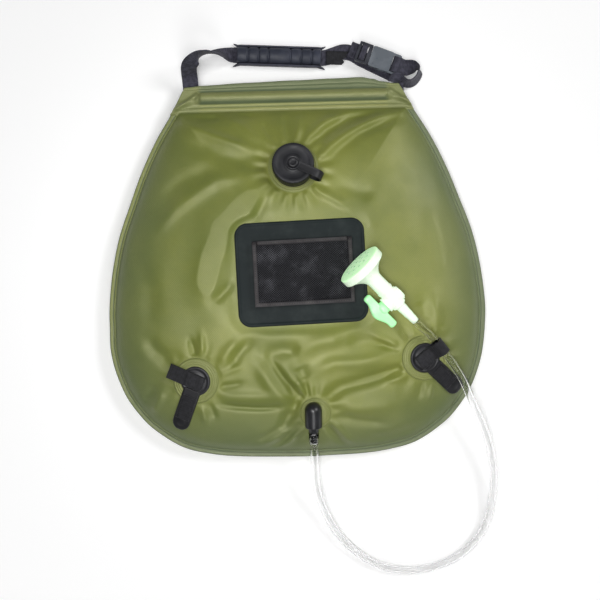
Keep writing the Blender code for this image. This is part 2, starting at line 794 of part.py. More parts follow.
def make_cap(lift):
    """The cap's skirt has fine ribs; its ceiling has a hole for the tether's button."""
    inside = CAP_RADIUS - CAP_SKIRT_WALL
    ceiling = CAP_TOP - CAP_PLATE
    edge = CAP_PLATE / 2
    profile = ((inside, CAP_SKIRT_BOTTOM), (CAP_RADIUS, CAP_SKIRT_BOTTOM), (CAP_RADIUS, CAP_TOP - edge),
               (CAP_RADIUS - edge, CAP_TOP), (HUB_STEM_RADIUS + GAP, CAP_TOP),
               (HUB_STEM_RADIUS + GAP, ceiling), (inside, ceiling))
    cap = turned("filler_cap", profile, "black_plastic", lift)
    low = CAP_TOP - GROOVE_DEPTH
    high = CAP_TOP + OVERRUN
    start = EYE_RADIUS + GAP
    end = start + GROOVE_WIDTH
    cut(cap, turned("cap_groove", ((start, low), (end, low), (end, high), (start, high)), parent=lift))
    seal_low = NECK_HEIGHT + GAP
    seal_high = ceiling - GAP
    seal_radius = NECK_RADIUS
    turned("cap_seal", ((seal_radius - SEAL_WIDTH, seal_low), (seal_radius, seal_low),
                        (seal_radius, seal_high), (seal_radius - SEAL_WIDTH, seal_high)), "seal", lift)


def make_hub(lift):
    ceiling = CAP_TOP - CAP_PLATE
    eye_low = CAP_TOP + GAP
    head_low = eye_low + TETHER_THICKNESS + GAP
    flange_high = ceiling - GAP
    flange_low = flange_high - HUB_HEAD_HEIGHT
    profile = ((0, flange_low), (HUB_FLANGE_RADIUS, flange_low), (HUB_FLANGE_RADIUS, flange_high),
               (HUB_STEM_RADIUS, flange_high), (HUB_STEM_RADIUS, head_low), (HUB_HEAD_RADIUS, head_low),
               (HUB_HEAD_RADIUS, head_low + HUB_HEAD_HEIGHT / 2),
               (HUB_HEAD_RADIUS * HUB_CROWN_SHARE, head_low + HUB_HEAD_HEIGHT),
               (0, head_low + HUB_HEAD_HEIGHT))
    turned("tether_hub", profile, "rubber", lift, SMALL_SIDES)


def make_tether(frame):
    """An eye on the cap, a strap that turns down outside it, and a ring round the neck below."""
    heading = axis_empty("tether_heading", Matrix.Rotation(math.radians(TETHER_HEADING), 4, "Z"), frame)
    top = CAP_TOP + GAP + TETHER_THICKNESS / 2
    bottom = NECK_FLANGE_TOP + GAP + TETHER_THICKNESS / 2
    radius = (top - bottom) / 2
    turn_start = TETHER_REACH - radius
    path = [Vector((HUB_HEAD_RADIUS, 0, top))]
    path += [Vector((turn_start + radius * math.sin(math.pi * step / TETHER_STEPS), 0,
                     bottom + radius + radius * math.cos(math.pi * step / TETHER_STEPS)))
             for step in range(TETHER_STEPS + 1)]
    path.append(Vector((NECK_RADIUS + TETHER_THICKNESS, 0, bottom)))
    across = [Vector((0, 1, 0))] * len(path)
    strap = ribbon("cap_tether", path, across, TETHER_WIDTH, TETHER_THICKNESS, "rubber", heading)
    half = TETHER_THICKNESS / 2
    eye = cylinder("tether_eye", EYE_RADIUS, top - half, top + half, parent=heading, sides=SMALL_SIDES)
    ring = cylinder("tether_ring", NECK_RADIUS + RING_WIDTH, bottom - half, bottom + half, parent=heading)
    unite(strap, eye, ring)
    cut(strap, cylinder("tether_eye_bore", HUB_STEM_RADIUS + GAP, top - OVERRUN, top + OVERRUN,
                        parent=heading, sides=SMALL_SIDES))
    cut(strap, cylinder("tether_ring_bore", NECK_RADIUS + GAP, bottom - half - GAP, bottom + half + GAP,
                        parent=heading))


# Mesh pocket


def make_pocket():
    tilt = Matrix.Rotation(math.radians(POCKET_TILT), 4, "Z")
    place = Vector((POCKET_X, TOP_Y - BAG_HEIGHT * POCKET_DEPTH_SHARE, 0))
    middle = axis_empty("pocket_middle", Matrix.Translation(place) @ tilt)
    window = axis_empty("net_middle", Matrix.Translation(place + Vector((NET_ASIDE, NET_RAISED, 0))) @ tilt)
    outline = rounded_rectangle(POCKET_WIDTH, POCKET_LENGTH, POCKET_CORNER)
    crown = FRONT_FLANGE_TOP + FRONT_RISE
    patch = prism("pocket_patch", outline, SEAM_HEIGHT, crown + OVERRUN, "black_patch", middle)
    rim = POCKET_RIM_WIDTH * 2
    inner = rounded_rectangle(POCKET_WIDTH - rim, POCKET_LENGTH - rim, POCKET_CORNER - POCKET_RIM_WIDTH)
    floor = prism("pocket_floor", inner, SEAM_HEIGHT, crown + OVERRUN * 2, parent=middle)
    cut(floor, ground(PATCH_TOP))
    fitted(patch, GAP, PATCH_TOP + POCKET_RIM_HEIGHT)
    cut(patch, floor)
    net_low = crown + PATCH_TOP + NET_STANDOFF
    make_binding(window, net_low)
    make_net(window, net_low)


def make_binding(window, net_low):
    """A channel of tape round three sides, and a tape along the net's free edge."""
    half_x = NET_WIDTH / 2 + BINDING_WIDTH - BINDING_LAP
    half_y = NET_LENGTH / 2 + BINDING_WIDTH - BINDING_LAP
    top = net_low + NET_THICKNESS + GAP + BINDING_LIP
    binding = block("pocket_binding", (-half_x, -half_y, SEAM_HEIGHT), (half_x, half_y, top), "black_patch",
                    window)
    hollow_x = NET_WIDTH / 2 + GAP
    hollow_y = NET_LENGTH / 2 + GAP
    lip_x = NET_WIDTH / 2 - BINDING_LAP
    lip_y = NET_LENGTH / 2 - BINDING_LAP
    open_y = half_y + OVERRUN
    below = block("binding_hollow", (-hollow_x, -hollow_y, SEAM_HEIGHT - OVERRUN),
                  (hollow_x, open_y, net_low + NET_THICKNESS + GAP), parent=window)
    above = block("binding_mouth", (-lip_x, -lip_y, SEAM_HEIGHT - OVERRUN), (lip_x, open_y, top + OVERRUN),
                  parent=window)
    cut(binding, below, above)
    fitted(binding, PATCH_TOP + GAP)
    tape_low = net_low + NET_THICKNESS + GAP
    tape_y = NET_LENGTH / 2 + BINDING_LAP
    block("pocket_top_tape", (GAP - lip_x, tape_y - BINDING_WIDTH, tape_low),
          (lip_x - GAP, tape_y, tape_low + BINDING_LIP), "black_patch", window)


def make_net(window, low):
    """A flat net of diamonds between diagonal strands, its ragged edge under the tape."""
    step_x, step_y = NET_DIAMOND_WIDTH / 2, NET_DIAMOND_LENGTH / 2
    width_share = NET_STRAND / math.hypot(step_x, step_y) / 2
    reach = int(NET_WIDTH / step_x + NET_LENGTH / step_y)
    half_x, half_y = NET_WIDTH / 2 - NET_STRAND, NET_LENGTH / 2 - NET_STRAND

    def place(a, b):
        return Vector(((a - b) * step_x, (a + b) * step_y, low))

    gaps = set()
    for a in range(-reach, reach):
        for b in range(-reach, reach):
            corners = [place(a + i, b + j) for i in (0, 1) for j in (0, 1)]
            if all(abs(c.x) < half_x and abs(c.y) < half_y for c in corners):
                gaps.add((a, b))
    mesh = bmesh.new()
    known = {}

    def vertex(a, side_a, b, side_b):
        key = (a, side_a, b, side_b)
        if key not in known:
            known[key] = mesh.verts.new(place(a + side_a * width_share, b + side_b * width_share))
        return known[key]

    pieces = set()
    for a, b in gaps:
        pieces |= {("knot", a + i, b + j) for i in (0, 1) for j in (0, 1)}
        pieces |= {("along_a", a, b + j) for j in (0, 1)}
        pieces |= {("along_b", a + i, b) for i in (0, 1)}
    for kind, a, b in sorted(pieces):
        end_a = ((a, -1), (a, 1)) if kind != "along_a" else ((a, 1), (a + 1, -1))
        end_b = ((b, -1), (b, 1)) if kind != "along_b" else ((b, 1), (b + 1, -1))
        mesh.faces.new((vertex(*end_a[0], *end_b[0]), vertex(*end_a[1], *end_b[0]),
                        vertex(*end_a[1], *end_b[1]), vertex(*end_a[0], *end_b[1])))
    flat = bmesh.ops.extrude_face_region(mesh, geom=list(mesh.faces))
    raised = [item for item in flat["geom"] if isinstance(item, bmesh.types.BMVert)]
    bmesh.ops.translate(mesh, verts=raised, vec=(0, 0, NET_THICKNESS))
    bmesh.ops.recalc_face_normals(mesh, faces=mesh.faces)
    data = bpy.data.meshes.new("pocket_mesh")
    mesh.to_mesh(data)
    mesh.free()
    add_object("pocket_mesh", data, "net", window)


# Outlet and hose


def make_outlet(frame):
    """The frame's X runs with the water, down the bag."""
    patch = cylinder("outlet_patch", OUTLET_PATCH_RADIUS, -NECK_HEIGHT, NECK_HEIGHT, "olive_weld", frame)
    patch_bore = cylinder("outlet_patch_bore", OUTLET_STEM_RADIUS + GAP, -NECK_HEIGHT - OVERRUN,
                          NECK_HEIGHT + OVERRUN, parent=frame, sides=SMALL_SIDES)
    fitted(cut(patch, patch_bore), GAP, PATCH_TOP)
    return make_elbow(frame)


def make_elbow(frame):
    across = Matrix.Translation((0, 0, ELBOW_AXIS_HEIGHT)) @ Matrix.Rotation(math.radians(90), 4, "Y")
    barrel = axis_empty("elbow_axis", across, frame)
    profile = [(0, -ELBOW_RADIUS)]
    for step in range(1, ELBOW_STEPS + 1):
        angle = math.radians(90 * step / ELBOW_STEPS)
        profile.append((ELBOW_RADIUS * math.sin(angle), -ELBOW_RADIUS * math.cos(angle)))
    profile += [(ELBOW_RADIUS, ELBOW_LENGTH), (COLLAR_RADIUS, ELBOW_LENGTH),
                (COLLAR_RADIUS, ELBOW_LENGTH + COLLAR_LENGTH), (BARB_RADIUS, ELBOW_LENGTH + COLLAR_LENGTH)]
    start = ELBOW_LENGTH + COLLAR_LENGTH
    pitch = BARB_LENGTH / BARB_RIDGES
    for ridge in range(BARB_RIDGES):
        foot = start + pitch * ridge
        profile += [(BARB_RADIUS, foot + pitch * BARB_FOOT_SHARE),
                    (BARB_RADIUS + BARB_RIDGE, foot + pitch * BARB_FOOT_SHARE), (BARB_RADIUS, foot + pitch)]
    profile.append((0, start + BARB_LENGTH))
    elbow = turned("outlet_elbow", profile, "black_plastic", barrel, ELBOW_SIDES)
    fitted(elbow, PATCH_TOP + GAP)
    stem = cylinder("elbow_stem", OUTLET_STEM_RADIUS, -NECK_INSIDE, ELBOW_AXIS_HEIGHT, parent=frame,
                    sides=SMALL_SIDES)
    unite(elbow, stem)
    cut(elbow, cylinder("elbow_bore_down", WATER_BORE, -NECK_INSIDE - OVERRUN, ELBOW_AXIS_HEIGHT,
                        parent=frame, sides=SMALL_SIDES))
    cut(elbow, cylinder("elbow_bore_out", WATER_BORE, -WATER_BORE / 2, start + BARB_LENGTH + OVERRUN,
                        parent=barrel, sides=SMALL_SIDES))
    return barrel


def hose_route(barrel, strap, head):
    """From the elbow's barb in a free arc to the right tab, through its loop, and to the spigot."""
    mouth = ELBOW_LENGTH + COLLAR_LENGTH + BARB_LENGTH + GAP
    start = [barrel.matrix_world @ Vector((0, 0, place)) for place in (mouth, mouth + HOSE_LEAD)]
    held = [strap.matrix_world @ Vector((HOSE_PLACE, place, HOSE_TAB_HEIGHT)) for place in HOSE_TAB_PLACES]
    end = [head.matrix_world @ Vector((x, y, SPIGOT_END + z)) for x, y, z in HOSE_END_PLACES]
    free = []
    for index, (across, along, height) in enumerate(HOSE_ARC):
        between = start[0].lerp(held[0], (index + 1) / (len(HOSE_ARC) + 1))
        free.append(Vector((between.x + across, between.y + along, height)))
    return start + free + held + end


def make_hose(barrel, strap, head):
    curve = bpy.data.curves.new("hose", "CURVE")
    curve.dimensions = "3D"
    curve.bevel_depth = HOSE_RADIUS
    curve.bevel_resolution = 3
    curve.use_fill_caps = True
    path = smooth_path(hose_route(barrel, strap, head), HOSE_SAMPLES)
    line = curve.splines.new("POLY")
    line.points.add(len(path) - 1)
    for knot, point in zip(line.points, path):
        knot.co = (*point, 1)
    curve.materials.append(finish_named("clear_hose"))
    hose = bpy.data.objects.new("hose", curve)
    bpy.context.scene.collection.objects.link(hose)


# Shower head


def head_frame():
    """Z runs from the spray face to the hose, X across to the valve's handle."""
    heading, drop = math.radians(HEAD_HEADING), math.radians(HEAD_DROP)
    level = Vector((math.cos(heading), math.sin(heading), 0))
    along = level * math.cos(drop) - Vector((0, 0, math.sin(drop)))
    across = Vector((math.sin(heading), -math.cos(heading), 0))
    matrix = Matrix((across, along.cross(across), along)).transposed().to_4x4()
    across_share, depth_share = HEAD_PLACE_SHARES
    x, y = BAG_WIDTH / 2 * across_share, TOP_Y - BAG_HEIGHT * depth_share
    matrix.translation = Vector((x, y, HEAD_HEIGHT))
    return axis_empty("head_axis", matrix)


def make_head():
    frame = head_frame()
    body = make_head_body(frame)
    make_rose_plate(frame)
    turn = Matrix.Translation((0, 0, VALVE_PLACE)) @ Matrix.Rotation(math.radians(90), 4, "Y")
    valve = axis_empty("valve_axis", turn, frame)
    unite(body, cylinder("valve_housing", HOUSING_RADIUS, -VALVE_BULGE, HOUSING_REACH, parent=valve,
                         sides=VALVE_SIDES))
    cut(body, cylinder("head_bore", PIPE_BORE, BELL_LENGTH - OVERRUN, SPIGOT_END + OVERRUN, parent=frame,
                       sides=SMALL_SIDES))
    cut(body, cylinder("housing_bore", PLUG_RADIUS + GAP, -VALVE_BULGE - OVERRUN, HOUSING_REACH + OVERRUN,
                       parent=valve, sides=VALVE_SIDES))
    make_valve(valve)
    return frame


def bell_profile(grow):
    """The bell's concave side from the band to the pipe, set in by grow."""
    points = []
    span = ROSE_RADIUS - PIPE_RADIUS
    length = BELL_LENGTH - ROSE_BAND
    for step in range(BELL_STEPS + 1):
        share = step / BELL_STEPS
        radius = PIPE_RADIUS + span * (1 - share) ** BELL_POWER * BELL_FOOT_SHARE
        points.append((radius - grow, ROSE_BAND + length * share))
    return points


def make_head_body(frame):
    start = ROSE_PLATE
    profile = [(ROSE_RADIUS - HEAD_WALL, start), (ROSE_RADIUS, start), (ROSE_RADIUS, ROSE_BAND)]
    profile += bell_profile(0)
    profile += [(PIPE_RADIUS, VALVE_PLACE + VALVE_BULGE), (SPIGOT_RADII[0], SPIGOT_START)]
    pitch = (SPIGOT_END - SPIGOT_START) / SPIGOT_RIDGES
    for ridge in range(SPIGOT_RIDGES):
        foot = SPIGOT_START + pitch * ridge
        low, high = (SPIGOT_RADII[0] + (SPIGOT_RADII[1] - SPIGOT_RADII[0]) * (ridge + place) / SPIGOT_RIDGES
                     for place in (BARB_FOOT_SHARE, 1))
        profile += [(low, foot + pitch * BARB_FOOT_SHARE),
                    (low + SPIGOT_RIDGE, foot + pitch * BARB_FOOT_SHARE),
                    (high, foot + pitch)]
    profile += [(0, SPIGOT_END), (0, BELL_LENGTH)]
    profile += bell_profile(HEAD_WALL)[::-1]
    profile.append((ROSE_RADIUS - HEAD_WALL, ROSE_BAND / 2))
    return turned("head_body", profile, "pale_plastic", frame)


def make_rose_plate(frame):
    """A domed plate on the bell's rim, with a skirt inside it and rings of spray holes."""
    dome = []
    for step in range(DOME_STEPS + 1):
        share = step / DOME_STEPS
        dome.append((ROSE_RADIUS * share, -ROSE_DOME * (1 - share ** 2)))
    face_high = ROSE_PLATE - GAP
    skirt = ROSE_RADIUS - HEAD_WALL - GAP
    profile = dome + [(ROSE_RADIUS, face_high), (skirt, face_high), (skirt, face_high + ROSE_PLATE),
                      (skirt - HEAD_WALL / 2, face_high + ROSE_PLATE), (skirt - HEAD_WALL, face_high),
                      (0, face_high)]
    plate = turned("rose_plate", profile, "pale_plastic", frame)
    for ring, (count, share) in enumerate(zip(HOLE_COUNTS, HOLE_RING_SHARES)):
        for number in range(count):
            angle = 2 * math.pi * (number + HOLE_TURN_SHARE) / count
            centre = (ROSE_RADIUS * share * math.cos(angle), ROSE_RADIUS * share * math.sin(angle))
            cut(plate, prism("spray_hole_%d_%d" % (ring, number), circle(HOLE_RADIUS, HOLE_SIDES, centre),
                             -ROSE_DOME - OVERRUN, face_high + OVERRUN, parent=frame))


def make_valve(valve):
    """Z runs out to the handle. The plug's cross bore lines up with the pipe when the valve is open."""
    inner = -VALVE_BULGE + RETAINER_SETBACK
    groove = O_RING_RADIUS * 2
    groove_low = HOUSING_REACH - groove * 2
    profile = ((0, inner - PLUG_STUB_LENGTH), (PLUG_STUB_RADIUS, inner - PLUG_STUB_LENGTH),
               (PLUG_STUB_RADIUS, inner), (PLUG_RADIUS, inner), (PLUG_RADIUS, groove_low),
               (PLUG_RADIUS - groove, groove_low), (PLUG_RADIUS - groove, groove_low + groove),
               (PLUG_RADIUS, groove_low + groove), (PLUG_RADIUS, HOUSING_REACH + GAP),
               (T_STEM_RADIUS, HOUSING_REACH + GAP), (T_STEM_RADIUS, T_PLACE), (0, T_PLACE))
    handle = turned("valve_handle", profile, "mint_plastic", valve, VALVE_SIDES)
    unite(handle, make_t_bar(valve))
    across = axis_empty("plug_bore_axis", Matrix.Rotation(math.radians(-90), 4, "Y"), valve)
    cut(handle, cylinder("plug_bore", PIPE_BORE, -PLUG_RADIUS - OVERRUN, PLUG_RADIUS + OVERRUN,
                         parent=across, sides=SMALL_SIDES))
    ring = []
    for step in range(O_RING_STEPS):
        angle = 2 * math.pi * step / O_RING_STEPS
        ring.append((PLUG_RADIUS - groove / 2 + (O_RING_RADIUS - GAP / 2) * math.cos(angle),
                     groove_low + groove / 2 + (O_RING_RADIUS - GAP / 2) * math.sin(angle)))
    turned("valve_o_ring", ring, "seal", valve, VALVE_SIDES)
    washer_high = -VALVE_BULGE - GAP
    washer_low = washer_high - RETAINER_THICKNESS
    turned("valve_retainer", ((PLUG_STUB_RADIUS + GAP, washer_low), (RETAINER_RADIUS, washer_low),
                              (RETAINER_RADIUS, washer_high), (PLUG_STUB_RADIUS + GAP, washer_high)),
           "pale_plastic", valve, SMALL_SIDES)


def make_t_bar(valve):
    """The bar lies along the pipe, thick and bowed outward at its middle."""
    rings = []
    for step in range(T_STEPS + 1):
        share = abs(2 * step / T_STEPS - 1)
        size = T_END_SIZE + (T_MIDDLE_SIZE - T_END_SIZE) * max(0, 1 - share / T_BULGE_SHARE)
        inner = T_PLACE - T_END_SIZE / 2
        outline = rounded_rectangle(T_THICKNESS, size, T_END_SIZE / 4, 2)
        rings.append([Vector((T_LENGTH * (step / T_STEPS - 1 / 2), x, inner + size / 2 + y))
                      for x, y in outline])
    return loft("t_bar", rings, parent=valve)


# Hose tabs


def make_tab(tree, index):
    side = TAB_SIDES[index]
    x = BAG_WIDTH / 2 * TAB_ACROSS_SHARES[index]
    y = TOP_Y - BAG_HEIGHT * TAB_DEPTH_SHARES[index]
    tongue = axis_empty("tongue_frame_" + side, front_place(tree, x, y, TONGUE_HEADING[index], TAB_RADIUS))
    strap = axis_empty("strap_frame_" + side, front_place(tree, x, y, STRAP_HEADING[index], TAB_RADIUS))
    tall = TAB_PATCH_RADIUS
    patch = cylinder("tab_patch_" + side, TAB_PATCH_RADIUS, -tall, tall, "olive_weld", tongue)
    fitted(patch, GAP, PATCH_TOP)
    make_tongue(side, tongue, TONGUE_REACH[index])
    make_strip(side, tongue, TONGUE_REACH[index])
    make_hook_strap(side, strap)
    return strap


def tongue_outline(reach):
    radius = TONGUE_WIDTH / 2
    outline = [(0, -radius)]
    for step in range(TONGUE_STEPS + 1):
        angle = math.radians(180 * step / TONGUE_STEPS - 90)
        outline.append((reach - radius + radius * math.cos(angle), radius * math.sin(angle)))
    outline.append((0, radius))
    return outline


def make_tongue(side, frame, reach):
    """A round foot with a flat top, and a tongue that lies along the bag."""
    tall = TAB_PATCH_RADIUS
    low = PATCH_TOP + GAP
    tab = cylinder("tab_" + side, TAB_RADIUS, -tall, TAB_DISC_TOP, "rubber", frame)
    cut(tab, ground(low))
    tongue = prism("tongue_" + side, tongue_outline(reach), -tall, tall, parent=frame)
    fitted(tongue, low, low + TAB_THICKNESS)
    unite(tab, tongue)


def make_strip(side, frame, reach):
    low = PATCH_TOP + GAP + TAB_THICKNESS + GAP
    end = reach - STRIP_END_SETBACK
    half = STRIP_WIDTH / 2
    outline = ((STRIP_START, -half), (end, -half), (end, half), (STRIP_START, half))
    strip = prism("tab_strip_" + side, outline, -TAB_PATCH_RADIUS, TAB_PATCH_RADIUS, "webbing", frame)
    fitted(strip, low, low + STRIP_THICKNESS)


def make_hook_strap(side, frame):
    """Two layers of tape that meet at a fold; on the right they close round the hose."""
    low = TAB_DISC_TOP + GAP + HOOK_THICKNESS / 2
    rise = HOOK_THICKNESS + GAP
    fold = LOOP_REACH
    if side == "right":
        fold = HOSE_PLACE + HOSE_RADIUS + HOSE_CLEARANCE + HOOK_THICKNESS / 2
    hinge = axis_empty("flap_axis_" + side, Matrix.Translation((fold, 0, low)), frame)
    block("hook_strap_" + side, (-HOOK_TAIL, -HOOK_WIDTH / 2, TAB_DISC_TOP + GAP),
          (fold - HOOK_THICKNESS - GAP, HOOK_WIDTH / 2, TAB_DISC_TOP + GAP + HOOK_THICKNESS),
          "hook_tape", frame)
    path = right_flap_path(fold, low, rise) if side == "right" else left_flap_path(rise)
    end = -HOOK_TAIL - fold
    path.append(Vector((end, 0, rise)))
    flap = ribbon("flap_" + side, path, [Vector((0, 1, 0))] * len(path), HOOK_WIDTH, HOOK_THICKNESS,
                  "hook_tape", hinge)
    unite(flap, block("flap_pad_" + side, (end, -HOOK_WIDTH / 2, rise),
                      (end + FLAP_PAD_LENGTH, HOOK_WIDTH / 2,
                       rise + HOOK_THICKNESS / 2 + FLAP_PAD_THICKNESS),
                      parent=hinge))


def left_flap_path(rise):
    """From the hinge up and over into the upper layer."""
    turn = HOOK_THICKNESS * FOLD_SHARE
    return [Vector((0, 0, -HOOK_THICKNESS / 2)), Vector((0, 0, rise - turn * 2)),
            Vector((-turn * FOLD_SHARE, 0, rise - turn * FOLD_SHARE)), Vector((-turn * 2, 0, rise))]


def right_flap_path(fold, low, rise):
    """From the hinge up outside the hose, round it and down to the tab."""
    centre_x = HOSE_PLACE - fold
    centre_z = HOSE_TAB_HEIGHT - low
    radius = HOSE_RADIUS + HOSE_CLEARANCE + HOOK_THICKNESS / 2
    points = [Vector((0, 0, 0)), Vector((0, 0, centre_z / 2))]
    for step in range(WRAP_STEPS + 1):
        angle = math.radians(WRAP_ANGLE * step / WRAP_STEPS)
        points.append(Vector((centre_x + radius * math.cos(angle), 0, centre_z + radius * math.sin(angle))))
    points.append(Vector((FLAP_LAND - fold, 0, rise + HOOK_THICKNESS)))
    points.append(Vector((FLAP_LAND - fold - HOOK_THICKNESS * 2, 0, rise)))
    return points


# Handle


def make_strap_roots():
    low = STRAP_HINGE_Z - WEB_THICKNESS / 2
    high = STRAP_HINGE_Z + WEB_THICKNESS / 2
    for side, sign in (("left", -1), ("right", 1)):
        middle = sign * STRAP_SPREAD
        block("strap_root_" + side, (middle - WEB_WIDTH / 2, TOP_Y - STRAP_ROOT_LENGTH, low),
              (middle + WEB_WIDTH / 2, STRAP_HINGE_Y - WEB_THICKNESS / 2 - GAP, high), "webbing")


def turned_side(before, after, turn):
    """The direction of a strap's width, level at no turn and at half a turn."""
    along = (after - before).normalized()
    level = along.cross(Vector((0, 0, 1))).normalized()
    return Matrix.Rotation(math.pi * turn, 3, along) @ level


def strap(name, knots, sides, steps, parent):
    """Webbing through knots, whose width swings evenly from one knot's side to the next one's."""
    path = smooth_path(knots, steps)
    lengths = [0]
    for before, after in zip(knots, knots[1:]):
        lengths.append(lengths[-1] + (after - before).length)
    spread, place = [], 0
    for step in range(steps + 1):
        goal = lengths[-1] * step / steps
        while place < len(knots) - 2 and lengths[place + 1] < goal:
            place += 1
        share = (goal - lengths[place]) / (lengths[place + 1] - lengths[place])
        spread.append(sides[place].lerp(sides[place + 1], share).normalized())
    return ribbon(name, path, spread, WEB_WIDTH, WEB_THICKNESS, "webbing", parent)


def make_handle():
    handle = axis_empty("handle_axis", Matrix.Translation((0, STRAP_HINGE_Y, STRAP_HINGE_Z)))
    grip = placed_on_handle("grip_axis", handle, (GRIP_X, HANDLE_TOP - GRIP_EDGE_REACH, GRIP_FLOOR),
                            GRIP_TILT)
    place = (STRAP_SPREAD - BUCKLE_X_SETBACK, HANDLE_TOP - BUCKLE_Y_SETBACK, BUCKLE_HEIGHT)
    buckle = placed_on_handle("buckle_axis", handle, place, BUCKLE_HEADING)
    make_grip(grip)
    make_left_webbing(handle, grip, buckle)
    make_frayed_end(grip)
    make_right_strap(handle, buckle)
    make_female(buckle)
    male = axis_empty("buckle_release_axis", Matrix.Identity(4), buckle)
    make_male(male)
    make_adjuster(male)
    for side, sign in (("upper", 1), ("lower", -1)):
        make_prong(side, sign, male)


def placed_on_handle(name, handle, place, heading):
    matrix = Matrix.Translation(place) @ Matrix.Rotation(math.radians(heading), 4, "Z")
    return axis_empty(name, handle.matrix_basis.inverted() @ matrix, handle)


# Grip


def make_grip(grip):
    """A pad with horned corners and two rails; the ribbed core lies between the rails."""
    pad = prism("grip_pad", grip_outline(), 0, PAD_THICKNESS, "rubber", grip)
    inner = WEB_WIDTH / 2 + GAP
    outer = inner + PAD_RAIL_WIDTH
    rail_top = WEB_LEVEL + WEB_THICKNESS + PAD_RAIL
    for name, low, high in (("far", inner, outer), ("near", -outer, -inner)):
        unite(pad, block("pad_rail_" + name, (-CORE_LENGTH / 2, low, PAD_THICKNESS / 2),
                         (CORE_LENGTH / 2, high, rail_top), parent=grip))
    make_core(grip, WEB_LEVEL + WEB_THICKNESS / 2 + GAP)


def grip_outline():
    """Straight sides that flare into a horn at each corner, with hollowed ends."""
    quarter = [(GRIP_LENGTH / 2 - PAD_HORN * inset, GRIP_WIDTH / 2 - PAD_HORN * drop)
               for inset, drop in HORN_SHARES]
    quarter[0] = (quarter[0][0], 0)
    upper = quarter + [(-x, y) for x, y in quarter[::-1]]
    return upper + [(x, -y) for x, y in upper[-2:0:-1]]


def make_core(grip, low):
    """Bands across the core, parted by grooves."""
    used = CORE_LENGTH - BAND_GROOVE * (len(BAND_SHARES) - 1)
    wall = BAND_GROOVE * GROOVE_WALL_SHARE
    start = -CORE_LENGTH / 2
    rings = []
    for number, share in enumerate(BAND_SHARES):
        if number:
            rings.append(core_section(start + wall, low, BAND_GROOVE_DEPTH))
            start += BAND_GROOVE
            rings.append(core_section(start - wall, low, BAND_GROOVE_DEPTH))
        end = start + used * share / sum(BAND_SHARES)
        rings += [core_section(start, low, BAND_ROUND), core_section(start + BAND_ROUND, low, 0),
                  core_section(end - BAND_ROUND, low, 0), core_section(end, low, BAND_ROUND)]
        start = end
    loft("grip_core", rings, "black_plastic", grip)


def core_section(x, low, inset):
    """A flat foot and a round back."""
    half = CORE_WIDTH / 2 - inset
    height = CORE_HEIGHT - inset
    shoulder = low + height * CORE_SIDE_SHARE
    points = [Vector((x, half, low))]
    for step in range(CORE_STEPS + 1):
        angle = math.pi * step / CORE_STEPS
        points.append(Vector((x, half * math.cos(angle),
                              shoulder + (low + height - shoulder) * math.sin(angle))))
    points.append(Vector((x, -half, low)))
    return points


def make_left_webbing(handle, grip, buckle):
    """One length of webbing: left corner, through the grip, and under the buckle."""
    half = CORE_LENGTH / 2
    through = [grip.matrix_local @ Vector((x, 0, WEB_LEVEL))
               for x in (-half - PAD_HORN, -half, 0, half, half + PAD_HORN)]
    lead = Vector((-STRAP_SPREAD, STRAP_LEAD, 0))
    span = through[0] - lead
    knots = [Vector((-STRAP_SPREAD, 0, 0)), lead]
    turns = [0, 0]
    for along, out, up, turn in LEFT_STRAP_SHARES:
        height = STRAP_ARCH * up - STRAP_HINGE_Z
        knots.append(Vector((lead.x + span.x * along, lead.y + span.y * out, height)))
        turns.append(turn)
    knots += through
    under = -MALE_THICKNESS / 2 - TAIL_DROP
    knots += [buckle.matrix_local @ Vector((BUCKLE_WIDTH * along, BUCKLE_WIDTH * across, under))
              for along, across in TAIL_SHARES]
    turns += [1] * (len(knots) - len(turns))
    sides = knot_sides(knots, turns)
    strap("handle_strap", knots, sides, LEFT_STRAP_STEPS, handle)


def knot_sides(knots, turns):
    last = len(knots) - 1
    return [turned_side(knots[max(index - 1, 0)], knots[min(index + 1, last)], turn)
            for index, turn in enumerate(turns)]


def make_frayed_end(grip):
    """The webbing's cut end, which lies on the strap beside the grip."""
    start = GRIP_LENGTH / 2 + PAD_HORN / 2
    low = WEB_LEVEL + WEB_THICKNESS / 2 + GAP
    half = FRAYED_WIDTH / 2
    outline = [(start, -half)]
    last = len(FRAYED_POINT_SHARES) - 1
    for index, share in enumerate(FRAYED_POINT_SHARES):
        outline.append((start + FRAYED_LENGTH * (1 + share / 2), FRAYED_WIDTH * (index / last - 1 / 2)))
    outline.append((start, half))
    prism("strap_tail", outline, low, low + WEB_THICKNESS, "hook_tape", grip)


def make_right_strap(handle, buckle):
    """From the hinge round a bulge to the buckle, where it loops over the frame's bar."""
    knots, turns = [Vector((STRAP_SPREAD, 0, 0))], [0]
    for along, out, down, turn in RIGHT_STRAP_SHARES:
        knots.append(Vector((STRAP_SPREAD + RIGHT_STRAP_BULGE * along, RIGHT_STRAP_REACH * out,
                             (BUCKLE_HEIGHT - STRAP_HINGE_Z) * down)))
        turns.append(turn)
    end = FEMALE_LENGTH + FRAME_LENGTH
    over = FRAME_THICKNESS / 2 + GAP * 2 + WEB_THICKNESS / 2
    slot = (FEMALE_LENGTH + FRAME_SHOULDER + end - FRAME_BAR) / 2
    bend = WEB_THICKNESS / 2
    route = ((end + FRAME_BAR * 2, over / 2), (end + GAP, over), (slot + bend * 2, over),
             (slot, over - bend * 2), (slot, bend * 2 - over), (slot + bend * 2, -over),
             (end + GAP, -over))
    loop = [buckle.matrix_local @ Vector((along, 0, up)) for along, up in route]
    sides = knot_sides(knots + loop[:1], turns + [1])
    across = buckle.matrix_local.to_3x3() @ Vector((0, 1, 0))
    across *= math.copysign(1, across.dot(sides[-1]))
    sides = sides[:-1] + [across] * len(loop)
    strap("right_strap", knots + loop, sides, RIGHT_STRAP_STEPS, handle)


# Buckle


